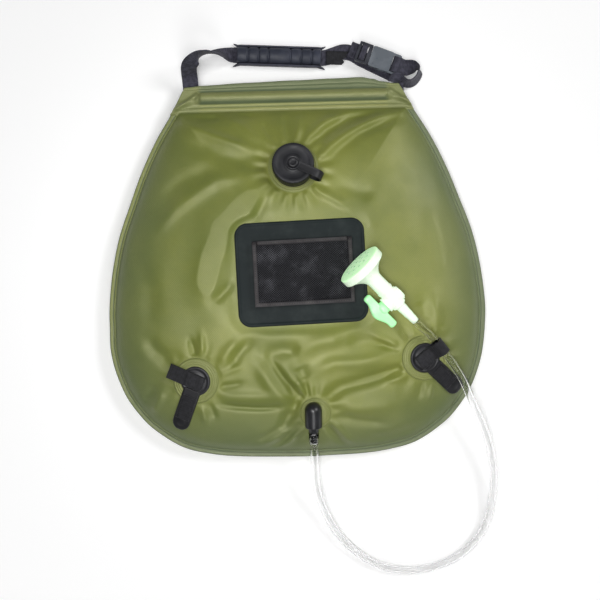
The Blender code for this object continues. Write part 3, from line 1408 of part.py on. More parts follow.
def rounded_block(name, low, high, corner, finish=None, parent=None):
    """A block whose four upright edges are rounded."""
    middle_x, middle_y = (high[0] + low[0]) / 2, (high[1] + low[1]) / 2
    outline = [(middle_x + x, middle_y + y) for x, y in
               rounded_rectangle(high[0] - low[0], high[1] - low[1], corner, BUCKLE_CORNER_STEPS)]
    return prism(name, outline, low[2], high[2], finish, parent)


def make_female(frame):
    half, thick = BUCKLE_WIDTH / 2, FEMALE_THICKNESS / 2
    end = FEMALE_LENGTH + FRAME_LENGTH
    female = rounded_block("buckle_female", (0, -half, -thick), (FEMALE_LENGTH, half, thick), FEMALE_WALL,
                           "buckle_plastic", frame)
    unite(female, rounded_block("strap_frame",
                                (FEMALE_LENGTH - FEMALE_WALL * 2, -half, -FRAME_THICKNESS / 2),
                                (end, half, FRAME_THICKNESS / 2), FEMALE_WALL, parent=frame))
    inner = half - FEMALE_WALL
    roof = thick - FEMALE_ROOF
    cavity = block("female_cavity", (-OVERRUN, -inner, -roof), (FEMALE_CAVITY, inner, roof), parent=frame)
    windows = block("female_windows", (WINDOW_START, -half - OVERRUN, -roof),
                    (WINDOW_START + WINDOW_LENGTH, half + OVERRUN, roof), parent=frame)
    slot = block("strap_slot", (FEMALE_LENGTH + FRAME_SHOULDER, FRAME_SIDE - half, -thick),
                 (end - FRAME_BAR, half - FRAME_SIDE, thick), parent=frame)
    cut(female, cavity, windows, slot)


def make_male(frame):
    half, thick = BUCKLE_WIDTH / 2, MALE_THICKNESS / 2
    male = rounded_block("buckle_male", (-MALE_LENGTH, -half, -thick), (-MALE_FACE_GAP, half, thick),
                         MALE_BAR / 2, "buckle_plastic", frame)
    width, guide = TONGUE_GUIDE_WIDTH / 2, TONGUE_GUIDE_THICKNESS / 2
    unite(male, block("male_guide", (-MALE_BAR, -width, -guide), (TONGUE_GUIDE_LENGTH, width, guide),
                      parent=frame))
    for number in range(2):
        low = -MALE_LENGTH + MALE_BAR + number * (MALE_BAR + MALE_SLOT)
        cut(male, block("male_slot_" + str(number), (low, FRAME_SIDE - half, -thick - OVERRUN),
                        (low + MALE_SLOT, half - FRAME_SIDE, thick + OVERRUN), parent=frame))


def make_adjuster(frame):
    """Webbing that comes in from the left, climbs through the first slot and goes down the second."""
    over = MALE_THICKNESS / 2 + GAP + WEB_THICKNESS / 2
    bend = WEB_THICKNESS / 2
    first = -MALE_LENGTH + MALE_BAR + MALE_SLOT / 2
    second = first + MALE_BAR + MALE_SLOT
    route = ((-MALE_LENGTH - ADJUSTER_TAIL, -over), (first - bend * 2, -over),
             (first - bend / 2, bend / 2 - over),
             (first, bend * 2 - over), (first, over - bend * 2), (first + bend / 2, over - bend / 2),
             (first + bend * 2, over), (second - bend * 2, over), (second - bend / 2, over - bend / 2),
             (second, over - bend * 2), (second, -MALE_THICKNESS / 2))
    path = [Vector((x, 0, z)) for x, z in route]
    ribbon("adjuster_webbing", path, [Vector((0, 1, 0))] * len(path), WEB_WIDTH, WEB_THICKNESS, "webbing",
           frame)


def make_prong(side, sign, male):
    """A springy arm whose barb fills the female half's window; it turns about its root."""
    root = PRONG_ROOT_RADIUS
    hinge = axis_empty("prong_axis_" + side, Matrix.Translation((root, sign * PRONG_ROOT_PLACE, 0)), male)
    outline = []
    for step in range(PRONG_STEPS + 1):
        angle = math.radians(90 + 180 * step / PRONG_STEPS)
        outline.append((root * math.cos(angle), root * math.sin(angle)))
    outline += [(PRONG_LENGTH * along, PRONG_LENGTH * across) for along, across in PRONG_SHARES]
    outline = [(x, sign * y) for x, y in outline]
    half = PRONG_THICKNESS / 2
    prism("buckle_prong_" + side, outline, -half, half, "buckle_plastic", hinge)


# Assembly


def build():
    clear_scene()
    tree = front_tree()
    filler_y = TOP_Y - BAG_HEIGHT * FILLER_DEPTH_SHARE
    filler = axis_empty("filler_axis", front_place(tree, FILLER_X, filler_y, 0, NECK_RADIUS))
    outlet_y = TOP_Y - BAG_HEIGHT * OUTLET_DEPTH_SHARE
    outlet = axis_empty("outlet_axis", front_place(tree, OUTLET_X, outlet_y, -90, ELBOW_RADIUS))
    make_panels((("filler", filler, NECK_RADIUS + GAP), ("outlet", outlet, OUTLET_STEM_RADIUS + GAP)))
    make_hem()
    make_filler(filler)
    make_pocket()
    barrel = make_outlet(outlet)
    head = make_head()
    straps = [make_tab(tree, index) for index in range(len(TAB_SIDES))]
    make_hose(barrel, straps[-1], head)
    make_strap_roots()
    make_handle()


build()
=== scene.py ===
"""Looks of the camp shower bag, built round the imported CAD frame."""

import math

import bmesh
import bpy
from mathutils import Matrix, Vector, noise


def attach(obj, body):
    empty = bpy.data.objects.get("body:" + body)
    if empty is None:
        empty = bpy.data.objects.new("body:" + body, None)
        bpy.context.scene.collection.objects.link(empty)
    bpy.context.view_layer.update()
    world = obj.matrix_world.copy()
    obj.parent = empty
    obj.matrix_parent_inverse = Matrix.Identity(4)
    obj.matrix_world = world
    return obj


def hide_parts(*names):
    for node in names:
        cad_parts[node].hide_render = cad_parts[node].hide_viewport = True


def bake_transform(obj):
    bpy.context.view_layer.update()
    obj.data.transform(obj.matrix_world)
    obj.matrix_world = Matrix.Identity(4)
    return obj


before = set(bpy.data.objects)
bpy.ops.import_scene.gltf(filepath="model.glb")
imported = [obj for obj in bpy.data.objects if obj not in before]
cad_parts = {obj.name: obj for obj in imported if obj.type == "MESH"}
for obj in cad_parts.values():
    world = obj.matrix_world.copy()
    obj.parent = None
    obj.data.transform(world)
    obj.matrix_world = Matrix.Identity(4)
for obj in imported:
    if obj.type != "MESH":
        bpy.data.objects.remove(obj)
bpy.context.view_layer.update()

# The hose, and its route from the elbow's barb to the shower head's
HOSE_RADIUS = 0.0048
HOSE_BORE = 0.0033
HOSE_SIDES = 28
HOSE_POINTS = (
    (0.0142, -0.2418, 0.0493), (0.0142, -0.2515, 0.0469), (0.0150, -0.2752, 0.0365),
    (0.0172, -0.3062, 0.0245), (0.0280, -0.3381, 0.0140), (0.0465, -0.3681, 0.0080),
    (0.0719, -0.3921, 0.0056), (0.1010, -0.4071, 0.0052), (0.1324, -0.4116, 0.0052),
    (0.1640, -0.4081, 0.0052), (0.1929, -0.3961, 0.0056), (0.2175, -0.3751, 0.0066),
    (0.2324, -0.3481, 0.0088), (0.2389, -0.3170, 0.0125), (0.2395, -0.2860, 0.0175),
    (0.2349, -0.2570, 0.0235), (0.2262, -0.2291, 0.0296), (0.2139, -0.2010, 0.0370),
    (0.2010, -0.1710, 0.0475), (0.1861, -0.1460, 0.0562), (0.1789, -0.1367, 0.0585),
    (0.1716, -0.1274, 0.0609), (0.1644, -0.1182, 0.0632), (0.1573, -0.1105, 0.0701),
    (0.1486, -0.1029, 0.0772), (0.1408, -0.0948, 0.0798),
)

# The bag: its outline in shares of half its width and of its height, its flange, and the levels
# of the seam and of the blown-up middle over it
TOP_Y = 0.204
HEM_LINE = 0.174
BAG_HALF = 0.234
BAG_HEIGHT = 0.466
FLANGE = 0.0075
SEAM_TOP = 0.02095
SEAM_LOW = 0.01905
RISE = 0.0417
CENTRE = Vector((0.0, -0.042))
OUTLINE_SHARES = (
    (0.570, 0.0), (0.627, 0.056), (0.730, 0.142), (0.812, 0.228), (0.877, 0.313), (0.938, 0.399),
    (0.976, 0.485), (0.997, 0.571), (1.0, 0.630), (0.975, 0.735), (0.915, 0.820), (0.846, 0.873),
    (0.765, 0.916), (0.611, 0.966), (0.453, 0.987), (0.300, 0.9955), (0.0, 1.0),
)

# Places and sizes of the parts on the front, as seen from above, and the cloth's thickness
FILLER = Vector((-0.0027, 0.0975))
TAB_LEFT = Vector((-0.1290, -0.1612))
TAB_RIGHT = Vector((0.1528, -0.1400))
POCKET = Vector((0.0040, -0.0315))
POCKET_TILT = math.radians(1.7)
POCKET_WIDTH, POCKET_LENGTH, POCKET_CORNER = 0.159, 0.1275, 0.016
POCKET_FLAT_X, POCKET_FLAT_Y = POCKET_WIDTH / 2 - POCKET_CORNER, POCKET_LENGTH / 2 - POCKET_CORNER
OUTLET_WELD = Vector((0.0168, -0.2050))
FILLER_PATCH, OUTLET_PATCH, TAB_PATCH = 0.0310, 0.0195, 0.0282
CLOTH = 0.0008
GAP = 0.0003

# Round parts that the cloth puckers about: middle, radius, number of puckers and their height
PORTS = ((FILLER, FILLER_PATCH, 17, 1.1), (OUTLET_WELD, OUTLET_PATCH, 11, 0.9),
         (TAB_LEFT, TAB_PATCH, 13, 0.6), (TAB_RIGHT, TAB_PATCH, 13, 0.7))
PUCKER_REACH = 0.03
FOLD_SCALE = 1.8
FOLD_LOWEST, FOLD_HIGHEST = -0.006, 0.0055

# The hem: its upper edge by x, and its section and its bands of painted shade and highlight by y,
# from the lower weld to that edge
TOP_EDGE = ((-0.140, 0.2052), (-0.131, 0.2058), (-0.115, 0.2072), (-0.06, 0.2095), (0.0, 0.2110),
            (0.05, 0.2122), (0.085, 0.2130), (0.100, 0.2105), (0.110, 0.2072), (0.127, 0.2045),
            (0.140, 0.2040))
HEM_SECTION = (
    (0.1706, 0.0000), (0.1711, 0.0009), (0.1720, 0.0011), (0.1729, 0.0017), (0.1738, 0.0011),
    (0.1756, 0.0010), (0.1770, 0.0013), (0.1780, 0.0020), (0.1790, 0.0013), (0.1806, 0.0011),
    (0.1822, 0.0013), (0.1836, 0.0024), (0.1850, 0.0045), (0.1868, 0.0064), (0.1890, 0.0076),
    (0.1915, 0.0081), (0.1938, 0.0076), (0.1956, 0.0061), (0.1970, 0.0040), (0.1984, 0.0021),
    (0.2000, 0.0013), (0.2016, 0.0014), (0.2024, 0.0009), (0.2032, 0.0013), (0.2060, 0.0011),
)
HEM_SHADING = (
    (0.1706, 0.2), (0.1716, 0.9), (0.1724, 0.0), (0.1736, 0.0), (0.1746, 0.5), (0.1756, 0.1),
    (0.1772, 0.0), (0.1784, 0.0), (0.1794, 0.6), (0.1806, 0.1), (0.1826, 0.0), (0.1840, 1.1),
    (0.1856, 1.0), (0.1880, 0.6), (0.1905, 0.3), (0.1940, 0.2), (0.1966, 0.0), (0.1976, 0.0),
    (0.1988, 1.1), (0.2004, 0.9), (0.2060, 0.9),
)
HEM_TOP = 0.2060
HEM_FLAT = 0.0013
ROD_Y, ROD_HALF, ROD_DEPTH = 0.1915, 0.0074, 0.0069

# The pocket's net and tapes, in the net's own frame
NET_HALF_X, NET_HALF_Y, NET_LEVEL = 0.0580, 0.0374, 0.06895
KNOT_X, KNOT_Y, THREAD = 0.0029, 0.0027, 0.0003
BINDING_HALF_X, BINDING_HALF_Y, BINDING_INSET = 0.0610, 0.0400, 0.0027
TAPE_TOP, EDGE_TAPE_WIDTH = 0.0711, 0.0055
STITCH_PITCH, STITCH_LENGTH, STITCH_RADIUS = 0.0030, 0.0020, 0.00022

# Hard parts: heights along and radii about each part's own axis
CAP_TOP = 0.0215
TETHER_TOP, TETHER_LOW, TETHER_THICK = 0.0226, 0.0047, 0.0016
TETHER_REACH, TETHER_WIDTH = 0.0385, 0.0105
ELBOW_RADIUS = 0.0105
HEAD_RADIUS, PIPE_RADIUS, HEAD_RIM, HEAD_BAND = 0.0290, 0.0095, 0.0018, 0.0100
DOME_RISE = 0.0028
BARB_RADIUS, BARB_TAPER = 0.0062, 0.0017
BAR_LENGTH, BAR_LOW = 0.0500, 0.0168

# Hose tabs: places along each tab from its disc's middle
TONGUE_HALF = 0.0110
DISH_RADIUS = 0.0062
STRIP_START, STRIP_SHORT, STRIP_WIDTH = 0.0215, 0.0150, 0.0172
HOOK_WIDTH, HOOK_THICKNESS, HOOK_END = 0.0188, 0.0014, -0.0110
TAB_HEIGHT = 0.0038
HELD_HOSE, HELD_POINT = 0.0217, 21
LOOP_RADIUS = HOSE_RADIUS + 0.0013 + HOOK_THICKNESS / 2

# Grip: length along the webbing, width and height across it
GRIP_LENGTH, GRIP_GROOVE, GRIP_HALF, GRIP_HEIGHT = 0.106, 0.0018, 0.0099, 0.0105
RIB_SHARES = (0.118, 0.106, 0.094, 0.236, 0.106, 0.106, 0.094)
TAIL_START, TAIL_REACH, TAIL_WIDTH = 0.060, 0.026, 0.017

# Folds of the front, each a line in millimetres with its half width and height
FOLDS = (
    (((-8, 62), (-58, 66), (-98, 28), (-112, -40), (-96, -104)), 30.0, 3.0),
    (((-96, -86), (-30, -112), (50, -108), (110, -70)), 20.0, 1.7),
    (((128, 130), (150, 70), (160, 0), (150, -60)), 34.0, -1.7),
    (((-42, 71), (-74, 32), (-105, -11), (-117, -62)), 16.0, 2.6),
    (((-34, 66), (-48, 41), (-61, 15)), 8.6, -1.6),
    (((-147, 161), (-99, 140), (-48, 120)), 8.6, 2.2),
    (((-139, 140), (-90, 113), (-46, 103)), 13.5, -2.0),
    (((-178, 19), (-148, 52), (-99, 83), (-53, 91)), 11.1, 1.6),
    (((-169, 63), (-137, 87), (-99, 100)), 12.3, -1.4),
    (((-76, -40), (-90, -52), (-105, -66)), 8.6, -1.8),
    (((-131, 170), (-111, 166), (-91, 166)), 7.4, -1.8),
    (((-70, 172), (-48, 166)), 6.2, -1.6),
    (((-40, 158), (-28, 136)), 4.9, -1.2),
    (((-83, 164), (-63, 151), (-40, 126)), 7.4, 1.3),
    (((118, 175), (71, 160), (40, 145), (21, 125)), 9.8, -3.2),
    (((136, 173), (85, 150), (46, 125), (28, 111)), 9.8, 2.8),
    (((66, 170), (37, 153), (15, 132)), 8.6, 2.2),
    (((146, 165), (110, 153), (76, 138), (49, 116)), 8.6, -2.0),
    (((8, 169), (4, 135)), 4.9, 1.0),
    (((-10, 168), (-9, 135)), 4.9, -1.0),
    (((25, 70), (44, 59), (64, 47)), 6.2, 1.3),
    (((42, 78), (69, 68), (101, 62)), 11.1, -1.2),
    (((104, 80), (90, 43), (84, 18)), 14.8, 1.2),
    (((-37, -137), (-19, -164), (-3, -190)), 4.9, -2.4),
    (((-54, -140), (-36, -170), (-14, -194)), 11.1, 2.2),
    (((-47, -131), (-22, -126), (2, -129)), 12.3, -2.4),
    (((-19, -145), (-6, -168), (1, -183)), 7.4, 1.6),
    (((-104, -191), (-78, -195), (-51, -197), (-19, -196)), 4.9, -1.9),
    (((-100, -181), (-63, -183), (-21, -184)), 8.6, 1.6),
    (((-2, -185), (-15, -206), (-26, -229)), 9.8, -3.0),
    (((-3, -227), (-16, -240), (-31, -251)), 3.9, 1.5),
    (((-9, -226), (-24, -240), (-40, -249)), 3.9, -1.5),
    (((-16, -223), (-34, -236), (-48, -245)), 3.9, 1.2),
    (((-24, -219), (-43, -232), (-58, -239)), 4.9, -1.2),
    (((-16, -165), (4, -189)), 4.4, -2.2),
    (((5, -166), (9, -186)), 3.9, -1.6),
    (((-6, -160), (7, -186)), 3.9, 1.4),
    (((23, -191), (49, -174), (87, -164), (121, -156)), 11.1, -3.6),
    (((14, -156), (41, -144), (75, -143), (123, -135)), 11.1, 2.4),
    (((-1, -146), (6, -163)), 11.1, -1.8),
    (((-13, -136), (22, -118), (55, -113)), 11.1, 1.8),
    (((55, -120), (86, -117), (117, -121)), 9.8, -1.4),
    (((35, -215), (51, -232), (66, -250)), 4.4, 1.8),
    (((30, -220), (42, -235), (53, -251)), 4.4, -1.6),
    (((36, -205), (67, -215), (107, -221)), 7.4, -1.6),
    (((40, -195), (74, -200), (125, -198)), 11.1, 1.6),
    (((80, -243), (113, -239), (148, -227)), 9.8, -1.2),
    (((93, -120), (126, -132)), 5.5, -1.8),
    (((86, -109), (123, -125)), 6.2, 1.3),
    (((97, -159), (126, -150)), 6.2, -1.8),
    (((103, -169), (131, -162)), 4.9, 1.2),
    (((162, -173), (160, -192)), 3.7, 1.3),
    (((149, -173), (145, -191)), 3.7, -1.1),
    (((177, -97), (169, -119)), 6.2, -1.5),
    (((166, -64), (171, -94), (173, -117)), 9.8, 2.0),
    (((149, -69), (154, -96)), 9.8, -1.2),
    (((-135, -108), (-128, -132)), 4.9, -1.5),
    (((-121, -101), (-119, -131)), 4.9, 1.3),
    (((-104, -157), (-72, -144)), 5.5, 1.3),
    (((-101, -169), (-70, -165)), 4.9, -1.2),
    (((-156, -140), (-176, -125), (-191, -107)), 11.1, -2.2),
    (((-169, -174), (-188, -204)), 6.2, 1.5),
    (((-179, -166), (-198, -188)), 7.4, -1.3),
    (((-113, -188), (-107, -209)), 4.9, -1.2),
    (((-122, -193), (-119, -217)), 4.9, 1.2),
    (((-73, -112), (-88, -126), (-100, -143)), 9.8, 1.8),
    (((-55, -110), (-74, -127), (-86, -146)), 8.6, -1.6),
    (((-202, 2), (-183, -48), (-185, -97)), 14.8, -1.0),
    (((166, 54), (176, 4), (182, -45)), 14.8, 1.2),
)

# Webbing: places along it, each with the direction of its width
LEFT_STRAP = (
    (-0.1290, 0.2054, 0.0181, 1.000, 0.002, 0.000),
    (-0.1296, 0.2165, 0.0218, 0.989, 0.151, -0.003),
    (-0.1296, 0.2236, 0.0319, 0.984, 0.171, -0.057),
    (-0.1280, 0.2292, 0.0425, 0.965, -0.169, -0.200),
    (-0.1215, 0.2350, 0.0505, 0.514, -0.495, -0.701),
    (-0.1132, 0.2410, 0.0477, -0.436, -0.387, -0.812),
    (-0.1048, 0.2440, 0.0389, -0.766, -0.026, -0.642),
    (-0.0975, 0.2459, 0.0290, -0.787, 0.359, -0.502),
    (-0.0901, 0.2472, 0.0190, -0.602, 0.703, -0.379),
    (-0.0822, 0.2480, 0.0094, -0.255, 0.949, -0.188),
    (-0.0715, 0.2484, 0.0038, 0.033, 0.999, 0.001),
    (-0.0590, 0.2476, 0.0039, 0.058, 0.998, 0),
    (-0.0466, 0.2469, 0.0039, 0.058, 0.998, 0),
    (-0.0341, 0.2462, 0.0039, 0.058, 0.998, 0),
    (-0.0216, 0.2455, 0.0039, 0.058, 0.998, 0),
    (-0.0092, 0.2447, 0.0039, 0.058, 0.998, 0),
    (0.0033, 0.2440, 0.0039, 0.058, 0.998, 0),
    (0.0158, 0.2433, 0.0039, 0.058, 0.998, 0),
    (0.0282, 0.2426, 0.0039, 0.058, 0.998, 0),
    (0.0407, 0.2420, 0.0039, -0.089, 0.996, 0),
    (0.0527, 0.2453, 0.0039, -0.323, 0.947, 0),
    (0.0647, 0.2487, 0.0039, -0.093, 0.996, 0),
    (0.0767, 0.2463, 0.0039, 0.440, 0.898, 0),
    (0.0873, 0.2397, 0.0039, 0.501, 0.865, 0),
    (0.0984, 0.2339, 0.0039, 0.467, 0.884, 0),
    (0.1095, 0.2281, 0.0039, 0.451, 0.892, 0),
    (0.1206, 0.2225, 0.0039, 0.447, 0.894, 0),
    (0.1295, 0.2180, 0.0039, 0.447, 0.894, 0),
)
RIGHT_STRAP = (
    (0.1290, 0.2054, 0.0181, 0.999, 0.037, 0.001),
    (0.1298, 0.2080, 0.0180, 0.930, -0.300, -0.195),
    (0.1322, 0.2092, 0.0170, 0.274, -0.668, -0.692),
    (0.1354, 0.2086, 0.0155, -0.100, -0.420, -0.908),
    (0.1389, 0.2070, 0.0142, -0.080, -0.360, -0.930),
    (0.1424, 0.2055, 0.0133, 0, -0.340, -0.940),
    (0.1459, 0.2049, 0.0129, 0.060, -0.340, -0.940),
    (0.1493, 0.2053, 0.0127, 0.120, -0.320, -0.940),
    (0.1524, 0.2067, 0.0126, 0.210, -0.280, -0.940),
    (0.1552, 0.2090, 0.0125, 0.270, -0.220, -0.940),
    (0.1576, 0.2118, 0.0125, 0.300, -0.160, -0.940),
    (0.1596, 0.2152, 0.0125, 0.340, -0.100, -0.940),
    (0.1608, 0.2189, 0.0125, 0.330, 0, -0.944),
    (0.1603, 0.2225, 0.0125, 0.120, 0.060, -0.985),
    (0.1580, 0.2249, 0.0125, -0.060, -0.200, -0.960),
    (0.1543, 0.2258, 0.0124, -0.013, -0.615, -0.789),
    (0.1505, 0.2258, 0.0126, -0.019, -0.793, -0.609),
    (0.1467, 0.2253, 0.0131, 0.084, -0.888, -0.451),
    (0.1430, 0.2248, 0.0137, 0.002, -0.979, -0.206),
    (0.1394, 0.2253, 0.0146, -0.312, -0.950, -0.015),
    (0.1377, 0.2260, 0.0151, -0.407, -0.913, 0.011),
    (0.1343, 0.2275, 0.0158, -0.381, -0.925, 0.002),
    (0.1297, 0.2293, 0.0161, -0.367, -0.930, 0),
    (0.1263, 0.2306, 0.0144, -0.366, -0.930, 0),
    (0.1264, 0.2305, 0.0103, -0.366, -0.930, 0),
    (0.1300, 0.2292, 0.0089, -0.367, -0.930, 0),
    (0.1346, 0.2274, 0.0092, -0.367, -0.930, 0),
)
WEB_WIDTH = 0.020
WEB_THICKNESS = 0.0014

# Camera and floor
CAMERA_PLACE = (0.00148, -0.0651, 1.4883)
CAMERA_TURN = math.radians(-1.5)
FLOOR_SIZE, FLOOR_LEVEL = 4.0, -0.0004
FLOOR_WHITE, FLOOR_BOUNCE, FLOOR_GLOW = 0.92, 0.86, 0.14


# Materials


class Finish:
    """A Principled material with a few nodes added in a row."""

    def __init__(self, name, colour, roughness, **values):
        self.material = bpy.data.materials.new(name)
        self.material.use_nodes = True
        self.tree = self.material.node_tree
        self.shader = self.tree.nodes["Principled BSDF"]
        self.shader.inputs["Base Color"].default_value = (*colour, 1)
        self.shader.inputs["Roughness"].default_value = roughness
        for key, value in values.items():
            self.shader.inputs[key.replace("_", " ")].default_value = value
        self.normal = None

    def node(self, kind, **settings):
        node = self.tree.nodes.new(kind)
        for key, value in settings.items():
            setattr(node, key, value)
        return node

    def link(self, out, socket):
        self.tree.links.new(out, socket)

    def place(self, turn=0.0, source="Object"):
        """Coordinates in metres, turned."""
        coordinates = self.node("ShaderNodeTexCoord")
        mapping = self.node("ShaderNodeMapping")
        mapping.inputs["Rotation"].default_value = (0, 0, turn)
        self.link(coordinates.outputs[source], mapping.inputs["Vector"])
        return mapping.outputs["Vector"]

    def noise(self, scale, detail=3.0):
        node = self.node("ShaderNodeTexNoise")
        node.inputs["Scale"].default_value = scale
        node.inputs["Detail"].default_value = detail
        node.inputs["Roughness"].default_value = 0.55
        self.link(self.place(), node.inputs["Vector"])
        return node.outputs["Fac"]

    def wave(self, scale, place, axis="X"):
        node = self.node("ShaderNodeTexWave", bands_direction=axis)
        node.inputs["Scale"].default_value = scale
        self.link(place, node.inputs["Vector"])
        return node.outputs["Fac"]

    def maths(self, operation, first, second=None, clamp=False):
        node = self.node("ShaderNodeMath", operation=operation, use_clamp=clamp)
        for socket, value in zip(node.inputs, (first, second)):
            if value is None:
                continue
            if isinstance(value, (int, float)):
                socket.default_value = value
            else:
                self.link(value, socket)
        return node.outputs[0]

    def ramp(self, value, low, high, to_low=0.0, to_high=1.0):
        node = self.node("ShaderNodeMapRange", interpolation_type="SMOOTHSTEP")
        values = {"From Min": low, "From Max": high, "To Min": to_low, "To Max": to_high}
        for key, number in values.items():
            node.inputs[key].default_value = number
        self.link(value, node.inputs["Value"])
        return node.outputs["Result"]

    def mix(self, share, first, second):
        node = self.node("ShaderNodeMix", data_type="RGBA")
        if isinstance(share, (int, float)):
            node.inputs[0].default_value = share
        else:
            self.link(share, node.inputs[0])
        for socket, value in ((node.inputs[6], first), (node.inputs[7], second)):
            if isinstance(value, tuple):
                socket.default_value = (*value, 1)
            else:
                self.link(value, socket)
        return node.outputs[2]

    def colour(self, value):
        self.link(value, self.shader.inputs["Base Color"])

    def rough(self, value):
        self.link(value, self.shader.inputs["Roughness"])

    def bump(self, height, distance, strength):
        node = self.node("ShaderNodeBump")
        node.inputs["Strength"].default_value = strength
        node.inputs["Distance"].default_value = distance
        self.link(height, node.inputs["Height"])
        if self.normal:
            self.link(self.normal, node.inputs["Normal"])
        self.normal = node.outputs["Normal"]
        self.link(self.normal, self.shader.inputs["Normal"])


def rgb(red, green, blue):
    """A colour as it looks on a screen, 0 to 255, made linear."""
    shares = (red / 255, green / 255, blue / 255)
    return tuple(s / 12.92 if s <= 0.04045 else ((s + 0.055) / 1.055) ** 2.4 for s in shares)


def cloth_finish(name, light, dark, attribute=None):
    """Coated cloth; the attribute is 0 for its own tone, 1 for the flange's greyer tone used as
    painted shade, 2 for a painted dark line.
    """
    finish = Finish(name, light, 0.35, Specular_IOR_Level=0.62, Sheen_Weight=0.05)
    finish.shader.inputs["Specular Tint"].default_value = (1.0, 0.97, 0.66, 1)
    tone = finish.mix(finish.ramp(finish.noise(9, 4), 0.35, 0.68), dark, light)
    # Painted shade from the attribute: the greyer tone where the cloth turns from the lamps, and
    # above 1 a painted dark line.
    if attribute:
        rim = finish.node("ShaderNodeAttribute", attribute_name=attribute)
        edge_shade_tone = finish.mix(finish.noise(14), rgb(88, 102, 76), rgb(98, 110, 82))
        tone = finish.mix(finish.maths("MINIMUM", rim.outputs["Fac"], 1.0), tone, edge_shade_tone)
        line = finish.maths("SUBTRACT", rim.outputs["Fac"], 1.0, clamp=True)
        tone = finish.mix(line, tone, rgb(52, 62, 46))
    grain = finish.ramp(finish.noise(900, 2), 0.3, 0.7, 0.94, 1.05)
    threads = [finish.wave(175, finish.place(turn=math.radians(turn))) for turn in (52, -38)]
    weave = finish.maths("MULTIPLY", *threads)
    grain = finish.maths("MULTIPLY", grain, finish.ramp(weave, 0.0, 0.8, 0.95, 1.05))
    shade = finish.node("ShaderNodeVectorMath", operation="SCALE")
    finish.link(tone, shade.inputs[0])
    finish.link(grain, shade.inputs["Scale"])
    finish.colour(shade.outputs[0])
    finish.bump(weave, 0.00019, 0.8)
    finish.bump(finish.noise(260, 3), 0.0002, 0.3)
    finish.bump(finish.noise(38, 4), 0.0011, 0.4)
    finish.rough(finish.ramp(finish.noise(60), 0.3, 0.7, 0.31, 0.40))
    return finish.material


def plastic_finish(name, colour, worn, roughness, grain=1400, depth=0.00006, gloss=0.5):
    finish = Finish(name, colour, roughness, Specular_IOR_Level=gloss)
    finish.colour(finish.mix(finish.ramp(finish.noise(45, 4), 0.45, 0.75), colour, worn))
    finish.bump(finish.noise(grain, 2), depth, 0.35)
    finish.rough(finish.ramp(finish.noise(80, 3), 0.3, 0.75, roughness * 0.85, roughness * 1.2))
    return finish.material


def painted_glow_finish(name, colour, worn, glow):
    """Bright plastic with a painted glow of its own colour, as if lit through from behind."""
    finish = Finish(name, colour, 0.3, Specular_IOR_Level=0.5, Emission_Strength=glow)
    finish.shader.inputs["Emission Color"].default_value = (*colour, 1)
    finish.colour(finish.mix(finish.ramp(finish.noise(45, 4), 0.45, 0.75), colour, worn))
    finish.bump(finish.noise(900, 2), 0.00005, 0.3)
    finish.rough(finish.ramp(finish.noise(80, 3), 0.3, 0.75, 0.26, 0.36))
    return finish.material


def webbing_finish(name, colour, worn):
    """Ribs across and a fine twill, in the ribbon's own lengthwise coordinates."""
    finish = Finish(name, colour, 0.7, Sheen_Weight=0.1, Specular_IOR_Level=0.3)
    across = finish.place(source="UV")
    ribs = finish.wave(110, across, axis="Y")
    twill = finish.wave(170, finish.place(turn=math.radians(40), source="UV"))
    tone = finish.mix(finish.ramp(finish.noise(220, 3), 0.35, 0.7), colour, worn)
    finish.colour(finish.mix(finish.maths("MULTIPLY", ribs, 0.3), tone, worn))
    finish.bump(finish.maths("MULTIPLY", ribs, twill), 0.00035, 0.8)
    finish.bump(finish.noise(1500, 2), 0.0001, 0.4)
    return finish.material


def hose_finish():
    finish = Finish("hose_clear", (1.0, 1.0, 1.0), 0.02, Transmission_Weight=1.0, IOR=1.2)
    finish.rough(finish.ramp(finish.noise(70, 3), 0.4, 0.8, 0.0, 0.03))
    return finish.material


def pocket_finish():
    """Black coated cloth that is darker where the net shades it."""
    finish = Finish("pocket_cloth", rgb(17, 22, 23), 0.6, Specular_IOR_Level=0.16)
    shade = finish.node("ShaderNodeAttribute", attribute_name="net_window_shade")
    tone = finish.mix(finish.ramp(finish.noise(40, 4), 0.4, 0.7), rgb(24, 32, 33), rgb(36, 43, 43))
    finish.colour(finish.mix(shade.outputs["Fac"], tone, rgb(10, 12, 13)))
    finish.bump(finish.noise(420, 3), 0.0002, 0.35)
    finish.bump(finish.noise(70, 4), 0.0006, 0.3)
    return finish.material


OLIVE_LIGHT, OLIVE_DARK = rgb(122, 128, 60), rgb(104, 113, 54)
olive = cloth_finish("olive_cloth", OLIVE_LIGHT, OLIVE_DARK, "rim")
olive_back = cloth_finish("olive_back_cloth", OLIVE_LIGHT, OLIVE_DARK)
patch_olive = cloth_finish("olive_patch", rgb(120, 126, 70), rgb(108, 116, 64))
patch_black = plastic_finish("black_patch_cloth", rgb(24, 25, 28), rgb(34, 35, 38), 0.5, 420,
                             0.00022, 0.35)
black = plastic_finish("black_moulded", rgb(28, 29, 32), rgb(42, 42, 46), 0.5, gloss=0.35)
elbow_black = plastic_finish("elbow_moulded", rgb(28, 29, 31), rgb(38, 38, 41), 0.34)
rubber = plastic_finish("black_rubber", rgb(26, 26, 29), rgb(38, 38, 42), 0.42, gloss=0.4)
grip_slate = plastic_finish("grip_moulded", rgb(46, 49, 60), rgb(60, 63, 76), 0.5, gloss=0.3)
pad_slate = plastic_finish("grip_sheet_rubber", rgb(56, 57, 68), rgb(72, 72, 86), 0.55, gloss=0.3)
buckle_grey = plastic_finish("buckle_moulded", rgb(38, 40, 48), rgb(54, 56, 64), 0.32, gloss=0.45)
buckle_pale = plastic_finish("buckle_socket_moulded", rgb(92, 98, 105), rgb(112, 117, 124), 0.3)
seal = plastic_finish("seal_rubber", rgb(34, 34, 36), rgb(46, 46, 48), 0.6)
rod = plastic_finish("rod_plastic", rgb(198, 198, 190), rgb(180, 180, 172), 0.4)
